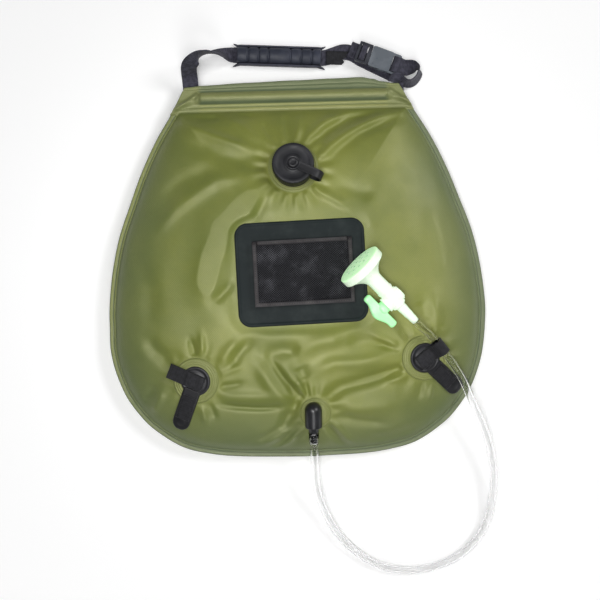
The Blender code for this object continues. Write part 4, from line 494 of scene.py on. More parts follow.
net = plastic_finish("net_thread", rgb(46, 46, 51), rgb(92, 92, 98), 0.6, 900, gloss=0.3)
# Painted glow on the shower head's plastics, strongest on the rose's face, which turns from the
# lamps.
pale = painted_glow_finish("pale_moulded", rgb(232, 252, 226), rgb(242, 254, 236), 0.16)
face_pale = painted_glow_finish("rose_moulded", rgb(206, 252, 198), rgb(220, 254, 212), 0.5)
mint = painted_glow_finish("mint_moulded", rgb(172, 248, 176), rgb(200, 252, 202), 0.22)
webbing = webbing_finish("webbing_weave", rgb(40, 40, 50), rgb(66, 65, 78))
hook = webbing_finish("hook_tape_weave", rgb(16, 16, 19), rgb(32, 32, 36))
clear = hose_finish()
# The hem is painted lighter than the bag's cloth for highlights on its weld lines, and its bands
# paint shade under the tube, in the grooves and on the strip above.
hem_olive = cloth_finish("olive_hem", rgb(142, 144, 88), rgb(130, 135, 80), "band")
binding_black = plastic_finish("binding_tape_weave", rgb(42, 40, 42), rgb(60, 57, 58), 0.6, 700,
                               0.0002, 0.3)
thread_grey = plastic_finish("thread_grey", rgb(78, 70, 68), rgb(100, 92, 88), 0.6, 1500, gloss=0.3)
thread_black = plastic_finish("thread_black", rgb(30, 30, 33), rgb(48, 48, 52), 0.6, 1500,
                              gloss=0.3)
hook_soft = webbing_finish("hook_pile", rgb(20, 20, 23), rgb(38, 38, 42))
# Painted shade of the spray holes.
hole_shade = plastic_finish("spray_hole_moulded", rgb(196, 226, 200), rgb(184, 214, 188), 0.4)
pocket_black = pocket_finish()


# Mesh helpers


def smooth(value, low, high):
    """0 below low, 1 above high, and a soft climb between them."""
    share = min(1.0, max(0.0, (value - low) / (high - low)))
    return share * share * (3 - 2 * share)


def circle(count, turn=0.0):
    """Even directions round a circle, as pairs of cosine and sine."""
    angles = [2 * math.pi * (index + turn) / count for index in range(count)]
    return [(math.cos(angle), math.sin(angle)) for angle in angles]


def quads(rows, columns, first=0, loop=True, ring=False, flip=False):
    """Faces between rows of points; loop joins each row's ends, ring the last row to the first.

    Flipped faces look the other way.
    """
    faces = []
    for row in range(rows if ring else rows - 1):
        a, b = first + row * columns, first + (row + 1) % rows * columns
        for step in range(columns if loop else columns - 1):
            after = (step + 1) % columns
            face = (a + step, b + step, b + after, a + after)
            faces.append(face[:1] + face[:0:-1] if flip else face)
    return faces


def caps(rows, columns, first=0):
    """The two end faces of a form that is made of rows."""
    last = first + (rows - 1) * columns
    return [tuple(range(first, first + columns))[::-1], tuple(range(last, last + columns))]


def tangent(line, index):
    """Direction of a line at one of its points."""
    return (line[min(index + 1, len(line) - 1)] - line[max(index - 1, 0)]).normalized()


def y_axis(matrix):
    return matrix.to_3x3() @ Vector((0, 1, 0))


def add(name, vertices, faces, finish, body, uvs=None):
    """A mesh that rides on a body, or on none."""
    data = bpy.data.meshes.new(name)
    data.from_pydata([tuple(v) for v in vertices], [], faces)
    data.materials.append(finish)
    data.polygons.foreach_set("use_smooth", [True] * len(data.polygons))
    if uvs:
        layer = data.uv_layers.new(name="UVMap")
        layer.data.foreach_set("uv", [c for loop in data.loops for c in uvs[loop.vertex_index]])
    data.validate()
    piece = bpy.data.objects.new(name, data)
    bpy.context.scene.collection.objects.link(piece)
    if body:
        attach(piece, body)
    return piece


def paint(piece, name, values):
    """A value for each point, which the piece's material reads."""
    layer = piece.data.attributes.new(name, "FLOAT", "POINT")
    layer.data.foreach_set("value", values)


def solidify(piece, thickness, offset=-1.0):
    modifier = piece.modifiers.new("wall", "SOLIDIFY")
    modifier.thickness = thickness
    modifier.offset = offset


def lathe(name, profile, matrix, finish, body, sides, closed=True):
    """Turns a loop of radius and height pairs about the frame's Z."""
    vertices = [matrix @ Vector((r * c, r * s, z)) for c, s in circle(sides) for r, z in profile]
    faces = quads(sides, len(profile), loop=closed, ring=True)
    piece = add(name, vertices, faces, finish, body)
    weld(piece)
    return piece


def weld(piece, distance=0.000001):
    """Joins points at the same place, and turns all faces outward."""
    mesh = bmesh.new()
    mesh.from_mesh(piece.data)
    bmesh.ops.remove_doubles(mesh, verts=mesh.verts, dist=distance)
    bmesh.ops.recalc_face_normals(mesh, faces=mesh.faces)
    mesh.to_mesh(piece.data)
    mesh.free()


def soften(piece, width):
    modifier = piece.modifiers.new("edge", "BEVEL")
    modifier.width = width
    modifier.segments = 3
    modifier.limit_method = "ANGLE"
    modifier.angle_limit = math.radians(30)
    modifier.harden_normals = False


def hermite(knots, steps):
    """A smooth line through knots, with steps points for each stretch."""
    line = []
    for index in range(len(knots) - 1):
        a, b = knots[index], knots[index + 1]
        chord = (b - a).length
        m, n = tangent(knots, index) * chord, tangent(knots, index + 1) * chord
        for step in range(steps):
            t = step / steps
            line.append(a * (2 * t ** 3 - 3 * t ** 2 + 1) + m * (t ** 3 - 2 * t ** 2 + t)
                        + b * (3 * t ** 2 - 2 * t ** 3) + n * (t ** 3 - t ** 2))
    line.append(knots[-1])
    return line


def ribbon(name, line, sides, width, thickness, finish, body, edge=0.35):
    """A woven band with thick rounded edges; its texture runs along it in metres.

    Its sides are one direction, or one for each point of the line.
    """
    if isinstance(sides, Vector):
        sides = [sides] * len(line)
    half, thin = width / 2, thickness / 2
    flat = thin * (1 - edge)
    section = [(-half + thin * 0.6, thin), (-half * 0.86, thin), (-half * 0.80, flat),
               (-half * 0.3, flat), (half * 0.3, flat), (half * 0.80, flat), (half * 0.86, thin),
               (half - thin * 0.6, thin), (half, 0)]
    section += [(x, -y) for x, y in section[-2::-1]] + [(-half, 0)]
    vertices, uvs, along = [], [], 0.0
    for index, point in enumerate(line):
        if index:
            along += (point - line[index - 1]).length
        ahead = tangent(line, index)
        side = (sides[index] - ahead * sides[index].dot(ahead)).normalized()
        up = ahead.cross(side).normalized()
        vertices += [point + side * x + up * y for x, y in section]
        uvs += [(x, along) for x, y in section]
    rows, columns = len(line), len(section)
    faces = quads(rows, columns, flip=True) + caps(rows, columns)
    return add(name, vertices, faces, finish, body, uvs=uvs)


def lofted(name, rings, finish, body):
    """A closed form through rings of points."""
    rows, columns = len(rings), len(rings[0])
    faces = quads(rows, columns, flip=True) + caps(rows, columns)
    piece = add(name, [point for ring in rings for point in ring], faces, finish, body)
    weld(piece)
    return piece


def woven(name, table):
    """Webbing along a table of places and side directions, on no body."""
    line = hermite([Vector(row[:3]) for row in table], 6)
    sides = hermite([Vector(row[3:]) for row in table], 6)
    return ribbon(name, line, sides, WEB_WIDTH, WEB_THICKNESS, webbing, None)


# Camera


def make_camera():
    data = bpy.data.cameras.new("camera")
    data.lens = 70
    data.sensor_width = 36
    camera = bpy.data.objects.new("camera", data)
    camera.matrix_world = Matrix.Translation(CAMERA_PLACE) @ Matrix.Rotation(CAMERA_TURN, 4, "Z")
    bpy.context.scene.collection.objects.link(camera)
    bpy.context.scene.camera = camera


# Hose


def make_hose():
    """A tube along the route: its outer wall, and its bore on the way back."""
    line = hermite([Vector(point) for point in HOSE_POINTS], 10)
    normal, frames = Vector((1, 0, 0)), []
    for index in range(len(line)):
        ahead = tangent(line, index)
        normal = (normal - ahead * normal.dot(ahead)).normalized()
        frames.append((normal, ahead.cross(normal)))
    vertices = []
    for radius, order in ((HOSE_RADIUS, 1), (HOSE_BORE, -1)):
        for point, (first, second) in list(zip(line, frames))[::order]:
            vertices += [point + (first * c + second * s) * radius for c, s in circle(HOSE_SIDES)]
    faces = quads(2 * len(line), HOSE_SIDES, ring=True, flip=True)
    hose = add("hose_tube", vertices, faces, clear, "bag")
    weld(hose)
    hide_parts("hose")
    length = sum((b - a).length for a, b in zip(line, line[1:]))
    return hose, length, line


# Bag


def half_outline():
    """The right half, from the hem's end down to the middle."""
    return [Vector((x * BAG_HALF, TOP_Y - y * BAG_HEIGHT)) for x, y in OUTLINE_SHARES]


def lean(x, y):
    """How much farther out the left side runs than the right."""
    return (0.0045 + 0.0027 * smooth(-y, 0.085, 0.125)) * smooth(x, 0.0, 0.12)


def full_outline():
    right = hermite(half_outline(), 10)
    return right + [Vector((-p.x - lean(p.x, p.y), p.y)) for p in right[-2::-1]]


def drawn_in(points, distance):
    """The outline moved inward, open at its top, and cut at the hem line."""
    moved = []
    for index, point in enumerate(points):
        along = tangent(points, index)
        moved.append(point + Vector((along.y, -along.x)) * distance)
    below = [index for index, point in enumerate(moved) if point.y < HEM_LINE]

    def cross(a, b):
        return a.lerp(b, (HEM_LINE - a.y) / (b.y - a.y))

    first, last = below[0], below[-1]
    kept = [moved[index] for index in below]
    return [cross(moved[first - 1], moved[first])] + kept + [cross(moved[last], moved[last + 1])]


class Reach:
    """Distance from the bag's middle to a closed line, by direction."""

    def __init__(self, points):
        self.points = [p - CENTRE for p in points]

    def __call__(self, angle):
        ray = Vector((math.cos(angle), math.sin(angle)))
        best = 0.0
        for a, b in zip(self.points, self.points[1:] + self.points[:1]):
            edge = b - a
            cross = ray.x * edge.y - ray.y * edge.x
            if abs(cross) < 1e-12:
                continue
            share = (a.y * ray.x - a.x * ray.y) / -cross
            if -1e-9 <= share <= 1 + 1e-9:
                point = a + edge * share
                best = max(best, point.dot(ray))
        return best


outline = full_outline()
outer = Reach(outline)
weld_line = drawn_in(outline, FLANGE)
inner = Reach(weld_line)
# The weld's reach by direction, in a table because it is asked for so often
TABLE_SIZE = 1440
inner_table = [inner(2 * math.pi * i / TABLE_SIZE) for i in range(TABLE_SIZE)]


def share_at(x, y):
    """0 at the bag's middle, 1 at its weld."""
    offset = Vector((x, y)) - CENTRE
    turn = math.atan2(offset.y, offset.x) / (2 * math.pi) % 1 * TABLE_SIZE
    index = int(turn) % TABLE_SIZE
    part = turn - int(turn)
    reach = inner_table[index] * (1 - part) + inner_table[(index + 1) % TABLE_SIZE] * part
    return offset.length / reach


def plain_level(share):
    """Level of the blown-up front without folds."""
    if share >= 1:
        return SEAM_TOP
    return SEAM_TOP + RISE * (1 - share ** 4) ** 0.75


def pocket_distance(x, y):
    """How far outside the pocket's rounded rectangle a place is."""
    c, s = math.cos(POCKET_TILT), math.sin(POCKET_TILT)
    u = (x - POCKET.x) * c + (y - POCKET.y) * s
    v = -(x - POCKET.x) * s + (y - POCKET.y) * c
    across, along = abs(u) - POCKET_FLAT_X, abs(v) - POCKET_FLAT_Y
    return math.hypot(max(across, 0), max(along, 0)) + min(max(across, along), 0) - POCKET_CORNER


fold_boxes = []
for points, width, _ in FOLDS:
    xs, ys = zip(*points)
    reach = width * 2.2
    fold_boxes.append((min(xs) - reach, max(xs) + reach, min(ys) - reach, max(ys) + reach))


def fold_height(x, y):
    """Sum of the folds at a place, in millimetres."""
    total = 0.0
    for (points, width, height), box in zip(FOLDS, fold_boxes):
        if not (box[0] < x < box[1] and box[2] < y < box[3]):
            continue
        best, place = 1e9, 0.0
        last = len(points) - 1
        for index in range(last):
            (ax, ay), (bx, by) = points[index], points[index + 1]
            dx, dy = bx - ax, by - ay
            t = min(1.0, max(0.0, ((x - ax) * dx + (y - ay) * dy) / (dx * dx + dy * dy)))
            d = math.hypot(x - ax - dx * t, y - ay - dy * t)
            if d < best:
                best, place = d, (index + t) / last
        taper = smooth(place, -0.02, 0.3) * smooth(1.02 - place, 0.0, 0.3) * 0.75 + 0.25
        total += height * taper * math.exp(-(best / width) ** 2 * 1.6)
    return total


def front_height(x, y, share):
    """Level of the front cloth with its folds, flattened under the hard parts."""
    level = plain_level(share)
    if share >= 1:
        return level
    free = smooth(pocket_distance(x, y), -0.002, 0.014)
    pucker = 0.0
    for place, radius, count, size in PORTS:
        offset = Vector((x, y)) - place
        out = offset.length - radius
        free = min(free, smooth(out, -0.0005, 0.006))
        if 0 < out < PUCKER_REACH:
            angle = math.atan2(offset.y, offset.x)
            wander = noise.noise(Vector((math.cos(angle), math.sin(angle), radius * 90))) * 2.4
            fade = smooth(out, 0, 0.004) * (1 - smooth(out, 0.006, PUCKER_REACH))
            pucker += size * math.cos(angle * count + wander) * fade
    near_hem = smooth(y, 0.140, 0.172)
    gather = near_hem * noise.noise(Vector((x * 95, y * 14, 1.3))) * 1.1
    broad = noise.noise(Vector((x * 17, y * 17, 4.2))) * 0.9
    broad += noise.noise(Vector((x * 42, y * 42, 7.7))) * 0.35
    rim = smooth(1 - share, 0.0, 0.06)
    edge = 1 - smooth(1 - share, 0.01, 0.10)
    turn = math.atan2(y - CENTRE.y, x - CENTRE.x)
    waves = edge * noise.noise(Vector((math.cos(turn) * 9, math.sin(turn) * 9, 2.2))) * 0.8
    folds = fold_height(x * 1000, y * 1000) * FOLD_SCALE
    total = (folds + broad + pucker + gather + waves) * free * rim
    return level + max(FOLD_LOWEST, min(FOLD_HIGHEST, total / 1000))


def ring_angles(count):
    """Directions of even steps along the weld line, with the outline's top corners among them."""
    closed = weld_line + [weld_line[0]]
    lengths = [0.0]
    for a, b in zip(closed, closed[1:]):
        lengths.append(lengths[-1] + (b - a).length)
    angles, place = [], 0
    for step in range(count):
        goal = lengths[-1] * step / count
        while lengths[place + 1] < goal:
            place += 1
        share = (goal - lengths[place]) / max(1e-9, lengths[place + 1] - lengths[place])
        point = closed[place].lerp(closed[place + 1], share) - CENTRE
        angles.append(math.atan2(point.y, point.x) % (2 * math.pi))
    for point in (outline[0], outline[-1]):
        corner = math.atan2(point.y - CENTRE.y, point.x - CENTRE.x) % (2 * math.pi)
        nearest = min(range(count), key=lambda i: abs(angles[i] - corner))
        angles[nearest] = corner
    return sorted(angles)


def flange_shade(angle):
    """How dark the flange's painted shade is, by direction: least on the upper left."""
    return 1.0 - 0.75 * max(0.0, math.cos(angle - math.radians(150))) ** 0.7


def skin(angles, rings, level, flange_level, flange_steps):
    """A cloth in rings about the middle, and on out over the flange to the outline."""
    vertices, rim = [Vector((CENTRE.x, CENTRE.y, level(CENTRE.x, CENTRE.y, 0.0)))], [0.0]
    count = len(angles)
    reaches = [(inner(angle), outer(angle)) for angle in angles]
    for ring in range(1, rings + 1):
        share = math.sin(math.pi / 2 * ring / rings) ** 0.8 * 0.35 + ring / rings * 0.65
        for angle, (weld_reach, edge_reach) in zip(angles, reaches):
            x = CENTRE.x + math.cos(angle) * weld_reach * share
            y = CENTRE.y + math.sin(angle) * weld_reach * share
            vertices.append(Vector((x, y, level(x, y, share))))
            # Painted shade: the front turns greyer towards its weld, where it slopes from the
            # lamps, except along the top.
            away = 1 - smooth(math.sin(angle), 0.55, 0.9)
            rim.append(away * (0.55 * smooth(share, 0.66, 0.98) + 0.2 * smooth(share, 0.93, 1.0)))
    for step in range(1, flange_steps + 1):
        part = step / flange_steps
        # Painted shade on the flange, darker by direction, with painted dark lines of shade in the
        # weld's groove and along the outer edge.
        lines = smooth(part, 0.86, 0.97) + 0.7 * math.exp(-((part - 0.36) / 0.08) ** 2)
        for angle, (weld_reach, edge_reach) in zip(angles, reaches):
            reach = weld_reach + (edge_reach - weld_reach) * part
            x = CENTRE.x + math.cos(angle) * reach
            y = CENTRE.y + math.sin(angle) * reach
            vertices.append(Vector((x, y, flange_level(x, y, part))))
            tone = flange_shade(angle)
            rim.append(tone if lines < 0.1 else tone * (1 - lines) + 1.6 * min(lines, 1))
    faces = [(0, 1 + side, 1 + (side + 1) % count) for side in range(count)]
    return vertices, faces + quads(rings + flange_steps, count, first=1), rim


def flange_top(x, y, part):
    """Level of the flange's upper side: its weld's bead, a groove and a thin lip."""
    bead = 0.0009 * math.exp(-((part - 0.14) / 0.09) ** 2)
    bead -= 0.0004 * math.exp(-((part - 0.36) / 0.08) ** 2)
    lip = -0.0004 * smooth(part, 0.88, 1.0)
    wander = noise.noise(Vector((x * 60, y * 60, 3.0))) * 0.0003 * part
    if y > HEM_LINE:
        return SEAM_TOP - 0.0002
    return SEAM_TOP + bead + lip + wander


def make_front():
    vertices, faces, rim = skin(ring_angles(560), 132, front_height, flange_top, 14)
    piece = add("front_skin", vertices, faces, olive, "bag")
    # The rim values paint shade on the front's edges and flange.
    paint(piece, "rim", rim)
    solidify(piece, CLOTH)
    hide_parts("front_panel")


def back_height(x, y, share):
    """Level of the back cloth: flat on the floor, and round towards the weld."""
    climb = max(0.0, (min(share, 1.0) - 0.72) / 0.28)
    level = SEAM_LOW * (1 - math.sqrt(max(0.0, 1 - climb * climb)))
    wave = noise.noise(Vector((x * 23, y * 23, 9.1))) * 0.5
    wave += noise.noise(Vector((x * 51, y * 51, 5.5))) * 0.25
    raised = max(0.0, wave) * 0.001 * (1 - smooth(share, 0.9, 1.0))
    return level + raised


def flange_under(x, y, part):
    """The flange's underside is level."""
    return SEAM_LOW


def make_back():
    vertices, faces, _ = skin(ring_angles(360), 70, back_height, flange_under, 4)
    piece = add("back_skin", vertices, [face[::-1] for face in faces], olive_back, "bag")
    solidify(piece, CLOTH)
    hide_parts("back_panel")


# Frames of the hard parts, in metres, as the CAD has them


def placed(*rows):
    """A frame from the three rows that matter."""
    return Matrix((*rows, (0, 0, 0, 1)))


FILLER_FRAME = placed((1, 0, 0, -0.0027), (0, 0.98617, 0.16576, 0.0975),
                      (0, -0.16576, 0.98617, 0.05724))
TETHER_FRAME = placed((0.89879, 0.43837, 0, -0.0027), (-0.43231, 0.88636, 0.16576, 0.0975),
                      (0.07266, -0.14898, 0.98617, 0.05724))
ELBOW_FRAME = placed((-0.00437, 0.99999, -0.00107, 0.01423), (0.23739, 0, -0.97141, -0.20121),
                     (-0.9714, -0.0045, -0.23739, 0.05921))
HEAD_FRAME = placed((-0.71813, -0.15655, 0.67808, 0.0722), (-0.69591, 0.16154, -0.69972, -0.024),
                    (0, -0.97437, -0.22495, 0.1026))
VALVE_FRAME = placed((-0.67808, -0.15655, -0.71813, 0.11289),
                     (0.69972, 0.16154, -0.69591, -0.06598), (0.22495, -0.97437, 0, 0.0891))
GRIP_FRAME = placed((0.99834, 0.05756, 0, -0.017), (-0.05756, 0.99834, 0, 0.2452),
                    (0, 0, 1, 0.0005))
BUCKLE_FRAME = placed((0.93042, 0.3665, 0, 0.09901), (-0.3665, 0.93042, 0, 0.2414),
                      (0, 0, 1, 0.0125))
NET_FRAME = placed((0.99956, -0.02967, 0, 0.0066), (0.02967, 0.99956, 0, -0.0312), (0, 0, 1, 0))
TONGUES = {
    "left": placed((-0.37145, 0.91689, -0.14605, -0.129), (-0.9092, -0.39109, -0.14282, -0.1612),
                   (-0.18807, 0.07974, 0.97891, 0.05382)),
    "right": placed((0.69994, 0.68835, 0.19044, 0.1528), (-0.68385, 0.72283, -0.09928, -0.14),
                    (-0.206, -0.06074, 0.97667, 0.05243)),
}
STRAPS = {
    "left": placed((-0.90851, -0.3915, -0.14605, -0.129), (0.41096, -0.90039, -0.14282, -0.1612),
                   (-0.07559, -0.18978, 0.97891, 0.05382)),
    "right": placed((0.77414, -0.60369, 0.19044, 0.1528), (0.62698, 0.77269, -0.09928, -0.14),
                    (-0.08721, 0.19626, 0.97667, 0.05243)),
}


# Hem


def table_value(table, x):
    """The table's value at x, with soft steps between its rows."""
    for (ax, ay), (bx, by) in zip(table, table[1:]):
        if x <= bx:
            return ay + (by - ay) * smooth(x, ax, bx)
    return table[-1][1]


def side_reach(y, side=1):
    """Half width of the bag's outline near its top, farther out on the left."""
    if side < 0:
        return side_reach(y) + lean(side_reach(y), y)
    points = half_outline()
    if y >= points[0].y:
        return points[0].x - (y - points[0].y) * 0.4
    for a, b in zip(points, points[1:]):
        if y >= b.y:
            return a.x + (b.x - a.x) * (a.y - y) / (a.y - b.y)
    return points[-1].x


def hem_shading(y, x):
    """Painted light and shade, from 0, the painted highlights of the bright lower bands, to 1, the
    painted shade of the grey strip above the tube.
    """
    for (ay, a), (by, b) in zip(HEM_SHADING, HEM_SHADING[1:]):
        if y <= by:
            value = a + (b - a) * smooth(y, ay, by)
            end = smooth(abs(x), 0.122, 0.114)
            return value * end + 0.35 * (1 - end)
    return HEM_SHADING[-1][1]


def hem_height(x, y, lift):
    """How high the hem stands over the weld, with the soft folds at its two ends."""
    wide = abs(x)
    end = wide - 0.118
    lower = math.exp(-((y - 0.1905 + end * 0.35) / 0.0035) ** 2)
    upper = math.exp(-((y - 0.1985 + end * 0.7) / 0.0028) ** 2)
    fold = 0.0028 * lower * smooth(wide, 0.119, 0.123) + 0.0022 * upper * smooth(wide, 0.119, 0.124)
    if 0.183 < y < 0.198:
        fold -= 0.0012 * math.exp(-((wide - 0.1185) / 0.0018) ** 2)
    crease = noise.noise(Vector((x * 120, y * 60, 0.5))) * 0.00035 * smooth(y, 0.180, 0.186)
    sag = noise.noise(Vector((x * 28, 2.0, 0.5))) * 0.0006
    tube = smooth(wide, 0.1245, 0.1172)
    height = lift
    if lift > HEM_FLAT and y > 0.182:
        height = HEM_FLAT + (lift - HEM_FLAT) * tube
    height += fold + crease * (0.4 + tube) + sag * smooth(y, 0.182, 0.188) * tube
    return max(0.0, height) if y > 0.1708 else 0.0


def make_hem():
    """The top of the bag turned over the rod and welded in two lines."""
    section = hermite([Vector(point) for point in HEM_SECTION], 3)
    columns = 190
    vertices, hem_shade_values = [], []
    for column in range(columns + 1):
        u = 2 * column / columns - 1
        u = math.copysign(abs(u) ** 0.85, u)
        for y, lift in section:
            x = side_reach(y, u) * u
            rise = (table_value(TOP_EDGE, x) - HEM_TOP) * smooth(y, 0.1975, HEM_TOP)
            vertices.append(Vector((x, y + rise, SEAM_TOP + hem_height(x, y, lift))))
            hem_shade_values.append(hem_shading(y, x))
    faces = quads(columns + 1, len(section), loop=False)
    piece = add("hem_fold", vertices, faces, hem_olive, "bag")
    paint(piece, "band", hem_shade_values)
    solidify(piece, 0.0007)
    under = []
    for column in range(61):
        x = 0.1178 * (column / 30 - 1)
        for step in range(25):
            angle = math.pi * step / 24
            z = 0.0212 - ROD_DEPTH * math.sin(angle) ** 0.8
            under.append(Vector((x, ROD_Y - ROD_HALF * math.cos(angle), z)))
    sleeve = add("hem_underside", under, quads(61, 25, loop=False, flip=True), olive_back, "bag")
    solidify(sleeve, 0.0007, 1.0)
    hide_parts("rod_sleeve")
    edge = []
    for column in range(97):
        x = 0.1330 * (column / 48 - 1)
        z = 0.0192 + noise.noise(Vector((x * 40, 1.0, 3.0))) * 0.0003
        reach = table_value(TOP_EDGE, x) - 0.0004 - 0.2000
        edge += [Vector((x, 0.2000 + reach * step / 5, z)) for step in range(6)]
    back = add("hem_back_edge", edge, quads(97, 6, loop=False, flip=True), olive_back, "bag")
    solidify(back, 0.0012, 1.0)


# Welded patches


def ground_level(x, y):
    """Level of the front without folds, which every part on it stands on."""
    return plain_level(share_at(x, y))


def patch_disc(name, node, centre, radius, hole, rings, beads):
    """A round patch on the front, with raised weld rings at the radii given."""
    vertices, sides = [], 96
    for ring in range(rings + 1):
        reach = hole + (radius - hole) * ring / rings
        lift = GAP + CLOTH
        for place, size in beads:
            lift += size * math.exp(-((reach - place) / 0.0007) ** 2)
        lift -= 0.0007 * smooth(reach, radius - 0.0012, radius)
        for c, s in circle(sides):
            x, y = centre.x + reach * c, centre.y + reach * s
            vertices.append(Vector((x, y, ground_level(x, y) + lift)))
    piece = add(name, vertices, quads(rings + 1, sides), patch_olive, "bag")
    solidify(piece, 0.0006)
    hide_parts(node)


def make_patches():
    patch_disc("filler_weld", "filler_patch", FILLER, FILLER_PATCH, 0.0213, 34,
               ((0.0285, 0.0005), (0.0262, 0.0004)))
    patch_disc("outlet_weld", "outlet_patch", OUTLET_WELD, OUTLET_PATCH, 0.0078, 30,
               ((0.0150, 0.0004), (0.0176, 0.0005)))
    for side, place in (("left", TAB_LEFT), ("right", TAB_RIGHT)):
        patch_disc("tab_weld_" + side, "tab_patch_" + side, place, TAB_PATCH, 0.0040, 44,
                   ((0.0212, 0.0005), (0.0236, 0.0005), (0.0262, 0.0004)))


# Mesh pocket


def rounded(width, length, corner, steps=10):
    """Outline of a rectangle with round corners."""
    points = []
    for cx, cy, start in ((1, 1, 0), (-1, 1, 90), (-1, -1, 180), (1, -1, 270)):
        for step in range(steps + 1):
            angle = math.radians(start + 90 * step / steps)
            points.append(Vector((cx * (width / 2 - corner) + corner * math.cos(angle),
                                  cy * (length / 2 - corner) + corner * math.sin(angle))))
    return points


def spread_even(points, spacing, fewest=1):
    """A closed outline with points about a spacing apart."""
    result = []
    for a, b in zip(points, points[1:] + points[:1]):
        count = max(fewest, int((b - a).length / spacing))
        result += [a.lerp(b, i / count) for i in range(count)]
    return result


def make_pocket_patch():
    """The patch behind the net: a raised rim, and a slack middle, with painted shade in the net's
    window.
    """
    turn = Matrix.Rotation(POCKET_TILT, 2)
    edge = spread_even(rounded(POCKET_WIDTH, POCKET_LENGTH, POCKET_CORNER), 0.004)
    rim = ((0, 0.0003), (0.0004, 0.0012), (0.0009, 0.00175), (0.0016, 0.0020), (0.0026, 0.0020),
           (0.0034, 0.00185), (0.0040, 0.0014), (0.0048, 0.00112), (0.006, 0.0011))
    outward = []
    for p in edge:
        x, y = max(0, abs(p.x) - POCKET_FLAT_X), max(0, abs(p.y) - POCKET_FLAT_Y)
        outward.append(Vector((math.copysign(x, p.x), math.copysign(y, p.y))).normalized())
    rings = [[p + out * -inset for p, out in zip(edge, outward)] for inset, _ in rim]
    rings += [[p * (1 - step / 31) for p in rings[-1]] for step in range(1, 31)]
    vertices, net_window_shade = [], []
    for index, ring in enumerate(rings):
        for p in ring:
            q = turn @ p
            x, y = POCKET.x + q.x, POCKET.y + q.y
            lift = rim[min(index, len(rim) - 1)][1]
            if index >= len(rim):
                lift += noise.noise(Vector((x * 60, y * 60, 6.0))) * 0.0003
            vertices.append(Vector((x, y, ground_level(x, y) + lift)))
            # Painted shade where the net covers the patch.
            inside = max(abs(p.x - 0.0026) - 0.0585, abs(p.y - 0.0003) - 0.0375)
            net_window_shade.append(1 - smooth(inside, -0.004, 0.001))
    vertices.append(Vector((POCKET.x, POCKET.y, ground_level(*POCKET) + rim[-1][1])))
    net_window_shade.append(1.0)
    count, middle = len(edge), len(vertices) - 1
    faces = [face[::-1] for face in quads(len(rings), count)]
    last = middle - count
    faces += [(middle, last + side, last + (side + 1) % count) for side in range(count)]
    piece = add("pocket_back", vertices, faces, pocket_black, "bag")
    weld(piece, 0.0000001)
    paint(piece, "net_window_shade", net_window_shade[:len(piece.data.vertices)])
    solidify(piece, 0.0006)
    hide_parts("pocket_patch")


def make_net_cloth():
    """Thin knotted threads that cross in small diamonds."""
    vertices, faces = [], []
    reach = int(NET_HALF_X / KNOT_X + NET_HALF_Y / KNOT_Y) + 2
    count = int(2 * NET_HALF_Y / KNOT_Y * 2) + 1
    for direction in (1, -1):
        across = Vector((KNOT_Y, -direction * KNOT_X, 0)).normalized() * THREAD
        for index in range(-reach, reach + 1):
            points = []
            for step in range(count + 1):
                y = -NET_HALF_Y + 2 * NET_HALF_Y * step / count
                x = index * KNOT_X + direction * y / KNOT_Y * KNOT_X
                if abs(x) <= NET_HALF_X:
                    sag = 0.00022 * math.cos(math.pi * (y / KNOT_Y * 2))
                    points.append(Vector((x, y, NET_LEVEL + direction * sag)))
            if len(points) < 2:
                continue
            faces += quads(len(points), 4, len(vertices), flip=True)
            for point in points:
                for a, b in ((1, 0), (0, 1), (-1, 0), (0, -1)):
                    up = Vector((0, 0, THREAD * 0.8 * b))
                    vertices.append(NET_FRAME @ (point + across * a + up))
    piece = add("pocket_net", vertices, faces, net, "bag")
    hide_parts("pocket_mesh")
    return piece


def swept(name, corners, section, finish, body, matrix):
    """A section of outward distances and heights, drawn along straight runs with mitred corners."""
    runs = [(b - a).normalized() for a, b in zip(corners, corners[1:])]
    vertices = []
    for corner, first, second in zip(corners, runs[:1] + runs, runs + runs[-1:]):
        normal = Vector((first.y + second.y, -first.x - second.x))
        if normal.length:
            normal = normal.normalized() / max(0.5, math.cos(first.angle(second) / 2))
        for out, height in section:
            flat = corner + normal * out
            point = matrix @ Vector((flat.x, flat.y, 0))
            if height < 0.05:
                height = ground_level(point.x, point.y) + height
            vertices.append(Vector((point.x, point.y, height)))
    rows, columns = len(corners), len(section)
    faces = quads(rows, columns) + [cap[::-1] for cap in caps(rows, columns)]
    piece = add(name, vertices, faces, finish, body)
    weld(piece)
    return piece


def stitches(name, line, pitch, length, radius, finish, body):
    """Short threads along a line of points."""
    vertices, faces, along, place = [], [], 0.0, pitch / 2
    for a, b in zip(line, line[1:]):
        run = (b - a).length
        if run < 1e-9:
            continue
        direction = (b - a) / run
        side = direction.cross(Vector((0, 0, 1))).normalized()
        up = side.cross(direction).normalized()
        while place < along + run:
            centre = a + direction * (place - along)
            faces += quads(5, 6, len(vertices), flip=True) + caps(5, 6, len(vertices))
            for share, size in ((-1, 0.35), (-0.75, 0.9), (0, 1.0), (0.75, 0.9), (1, 0.35)):
                for c, s in circle(6):
                    vertices.append(centre + direction * share * length / 2
                                    + (side * c + up * s) * radius * size)
            place += pitch
        along += run
    return add(name, vertices, faces, finish, body)


